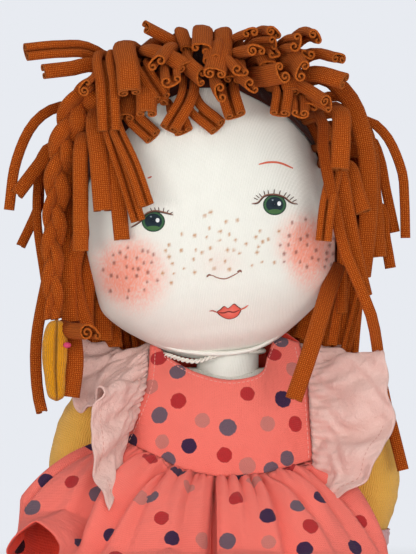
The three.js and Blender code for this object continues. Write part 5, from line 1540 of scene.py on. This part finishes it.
# Ruffles. A wide flutter of crinkled dusty pink linen is gathered into each armhole, with a
# topstitched hem. It falls to the front and is narrow where it ends at the waist.
RUFFLE_SEAMS = {
    "right": [
        (42.6, -20, 64), (42, -19.5, 75), (41.2, -18, 89.6), (40.4, -16, 104), (40, -13, 112),
        (38.6, -6, 122), (36, 3, 129), (36, 11, 124), (38, 17, 110), (40, 20, 94), (42, 20, 80),
    ],
    "left": [
        (-43, -20, 84), (-41, -20, 90), (-35.5, -19, 100.4), (-32, -15, 113.5), (-31.5, -8, 123),
        (-31, 2, 128.5), (-33, 11, 124), (-36, 17, 111), (-39, 19.5, 97), (-41, 20, 88),
    ],
}
RUFFLE_EDGES = {
    "right": [
        (50.7, -38, 59.5), (60, -43, 68), (69, -44, 78), (75, -39, 90), (76.2, -36, 104),
        (74.6, -33, 117), (72, -27, 128), (64, -10, 117), (56, 8, 130), (52, 22, 118), (48, 27, 84),
    ],
    "left": [
        (-49.5, -58, 57.5), (-54, -50, 74), (-57, -45, 91), (-52, -43, 109), (-63, -23, 100),
        (-67, -16, 112), (-64, -4, 128), (-60, 12, 128), (-55, 24, 113), (-48, 26, 92),
    ],
}
# creases that run out from the gathers: where on the seam, where towards the edge, depth, width, and
# how far out they reach
RUFFLE_CREASES = {
    "right": [
        (0.07, 0.1, 1.6, 0.02, 0.9), (0.17, 0.27, 4.2, 0.028, 1), (0.22, 0.24, 1.5, 0.02, 0.6),
        (0.3, 0.41, 3.4, 0.03, 0.75), (0.37, 0.44, 1.6, 0.018, 0.5), (0.46, 0.52, 3.2, 0.03, 0.9),
        (0.58, 0.6, 3, 0.03, 0.9), (0.72, 0.7, 3, 0.03, 1), (0.85, 0.84, 3, 0.03, 1),
    ],
    "left": [
        (0.1, 0.12, 2.4, 0.025, 0.8), (0.2, 0.25, 1.6, 0.02, 0.6), (0.33, 0.4, 3.6, 0.03, 0.9),
        (0.43, 0.47, 1.8, 0.02, 0.6), (0.52, 0.56, 3, 0.03, 0.9), (0.66, 0.66, 3, 0.03, 1),
        (0.82, 0.8, 3, 0.03, 1),
    ],
}
RUFFLE_ROWS = 36
RUFFLE_CLOTH = 0.8
HEM_SHARE = 0.86  # of the ruffle's width, where its hem is stitched
RUFFLE_COLUMNS = 220


def crinkled_linen():
    """Washed linen: matt, uneven in the thread, and crinkled all over."""
    material, add, shader = new_material("crinkled_linen", roughness=0.95, sheen=0.15)
    cloth = add("UVMap", uv_map="cloth")
    crinkle = add("TexNoise", {"Vector": cloth, "Scale": 0.2, "Detail": 4.0, "Roughness": 0.55})
    weave = add("TexNoise", {"Vector": cloth, "Scale": 1.9, "Detail": 2.0})
    height = add("Math", {0: crinkle, 1: 4.0, 2: weave}, operation="MULTIPLY_ADD")
    ramp = add("ValToRGB", {"Fac": weave})
    ramp.color_ramp.elements[0].color = rgba("#e0b2a6")
    ramp.color_ramp.elements[1].color = rgba("#f1cdc2")
    bump = add("Bump", {"Height": height, "Distance": 0.5 * MM, "Strength": 0.9})
    set_inputs(shader, {"Base Color": ramp, "Normal": bump})
    return material


linen = crinkled_linen()
hem_thread = plain_cloth("linen_topstitch_thread", "#d79f92", 0.5, 0.05)
for label in ("left", "right"):
    inner = smooth_line(RUFFLE_SEAMS[label], RUFFLE_COLUMNS)
    outer = smooth_line(RUFFLE_EDGES[label], RUFFLE_COLUMNS)
    t = np.linspace(0, 1, RUFFLE_ROWS)[:, None, None]
    grid = inner * (1 - t) + outer * t
    s_along = np.linspace(0, 1, RUFFLE_COLUMNS)[None, :]
    t2 = t[..., 0]
    # the cloth is fuller than its seam: it rises out of the gathers and falls in soft waves
    arch = 2.2 * np.sin(t2 * math.pi)
    waves = (1.6 * np.sin(s_along * 38 + 1.2) + 0.9 * np.sin(s_along * 71 + 4 * t2)) * t2
    puckers = 0.9 * np.sin(s_along * 230) * np.exp(-t2 / 0.22) * setting_in(t2, 0.03)
    creased = np.zeros((RUFFLE_ROWS, RUFFLE_COLUMNS))
    for on_seam, on_edge, depth, width, reach in RUFFLE_CREASES[label]:
        line = on_seam + (on_edge - on_seam) * t2
        spread = width * (0.6 + 0.8 * t2)
        fade = setting_in(t2, 0.08) * setting_in(reach + 0.15 - t2, 0.3)
        # one flank is steep and the other soft, as where cloth folds over itself
        away = (s_along - line) / spread
        creased -= depth * fade * np.where(away > 0, np.exp(-(away**2) * 3), np.exp(-(away**2) * 0.5))
    normal = facing(grid)
    if normal[..., 1].sum() > 0:
        normal = -normal
    crinkles = 0.6 * np.sin(s_along * 60 + 5 * t2 + 2.5 * np.sin(9 * t2 + 14 * s_along))
    crinkles += 0.6 * np.sin(s_along * 27 - 11 * t2 + 2 * np.sin(31 * s_along))
    crinkles *= setting_in(t2, 0.15)
    grid = grid + normal * (arch + waves + puckers + crinkles + creased)[..., None]
    ruffle = surface("ruffle_cloth_" + label, grid, flip=True)
    thickened(ruffle, RUFFLE_CLOTH)
    belongs(ruffle, linen, "torso", ["ruffle_" + label])
    row = int(HEM_SHARE * RUFFLE_ROWS)
    hem_line = smooth_line(grid[row][2:-2:3], 220)
    lift = smooth_line(normal[row][2:-2:3], 220) * 0.55
    hem = stitches("ruffle_stitches_" + label, hem_line, lift, length=1.7, gap=0.8)
    belongs(hem, hem_thread, "torso")

# Light and backdrop. Plain soft light comes from the front and above. The floor takes the doll's
# shadow where it sits, and further out has the colour of the pale wall behind, which is the world's.
WALL_COLOUR = "#e8ebf1"
SHADOW_NEAR = 0.2
SHADOW_FAR = 0.45
bpy.ops.object.select_all(action="DESELECT")
bpy.ops.mesh.primitive_plane_add(size=60, location=(0, 0, 0))
floor = bpy.context.object
floor.name = "floor"
paper, add, paper_shader = new_material("paper_floor", roughness=1)
set_inputs(paper_shader, {"Base Color": rgba("#f0f2f6")})
glow = add("Emission", {"Color": rgba(WALL_COLOUR)})
place = add("TexCoord").outputs["Object"]
away = add("VectorMath", {0: place}, operation="LENGTH")
far_out = add("MapRange", {"Value": away.outputs["Value"], "From Min": SHADOW_NEAR,
    "From Max": SHADOW_FAR})
camera_ray = add("LightPath").outputs["Is Camera Ray"]
share = add("Math", {0: far_out, 1: camera_ray}, operation="MULTIPLY")
both = add("MixShader", {0: share, 1: paper_shader, 2: glow})
set_inputs(paper.node_tree.nodes["Material Output"], {"Surface": both})
floor.data.materials.append(paper)

world = bpy.data.worlds.new("studio")
bpy.context.scene.world = world
world.use_nodes = True
sky = world.node_tree.nodes["Background"]
set_inputs(sky, {"Color": rgba("#f4f6fa"), "Strength": 0.3})
wall = add_node(world.node_tree, "Background", {"Color": rgba(WALL_COLOUR)})
camera_ray = add_node(world.node_tree, "LightPath").outputs["Is Camera Ray"]
shown = add_node(world.node_tree, "MixShader", {0: camera_ray, 1: sky, 2: wall})
set_inputs(world.node_tree.nodes["World Output"], {"Surface": shown})
for name, place, aim, size, power in (
    ("window", (0.75, -1.6, 0.3), (0, 0, 0.14), (1.5, 0.55), 11.5),
    ("reflector", (-0.75, -1.6, 0.24), (0, 0, 0.12), (1.5, 0.45), 12),
    ("ceiling", (0.1, -0.4, 1.8), (0, 0, 0.2), (1.2, 1.2), 6),
    ("room", (0, 1.7, 0.7), (0, 0, 0.15), (2, 1), 11),
):
    lamp_data = bpy.data.lights.new(name, "AREA")
    lamp_data.shape = "RECTANGLE"
    lamp_data.size = size[0]
    lamp_data.size_y = size[1]
    lamp_data.energy = power
    lamp = bpy.data.objects.new(name, lamp_data)
    lamp.location = place
    lamp.rotation_euler = (Vector(aim) - Vector(place)).to_track_quat("-Z", "Y").to_euler()
    bpy.context.scene.collection.objects.link(lamp)

bpy.context.scene.view_settings.view_transform = "Standard"
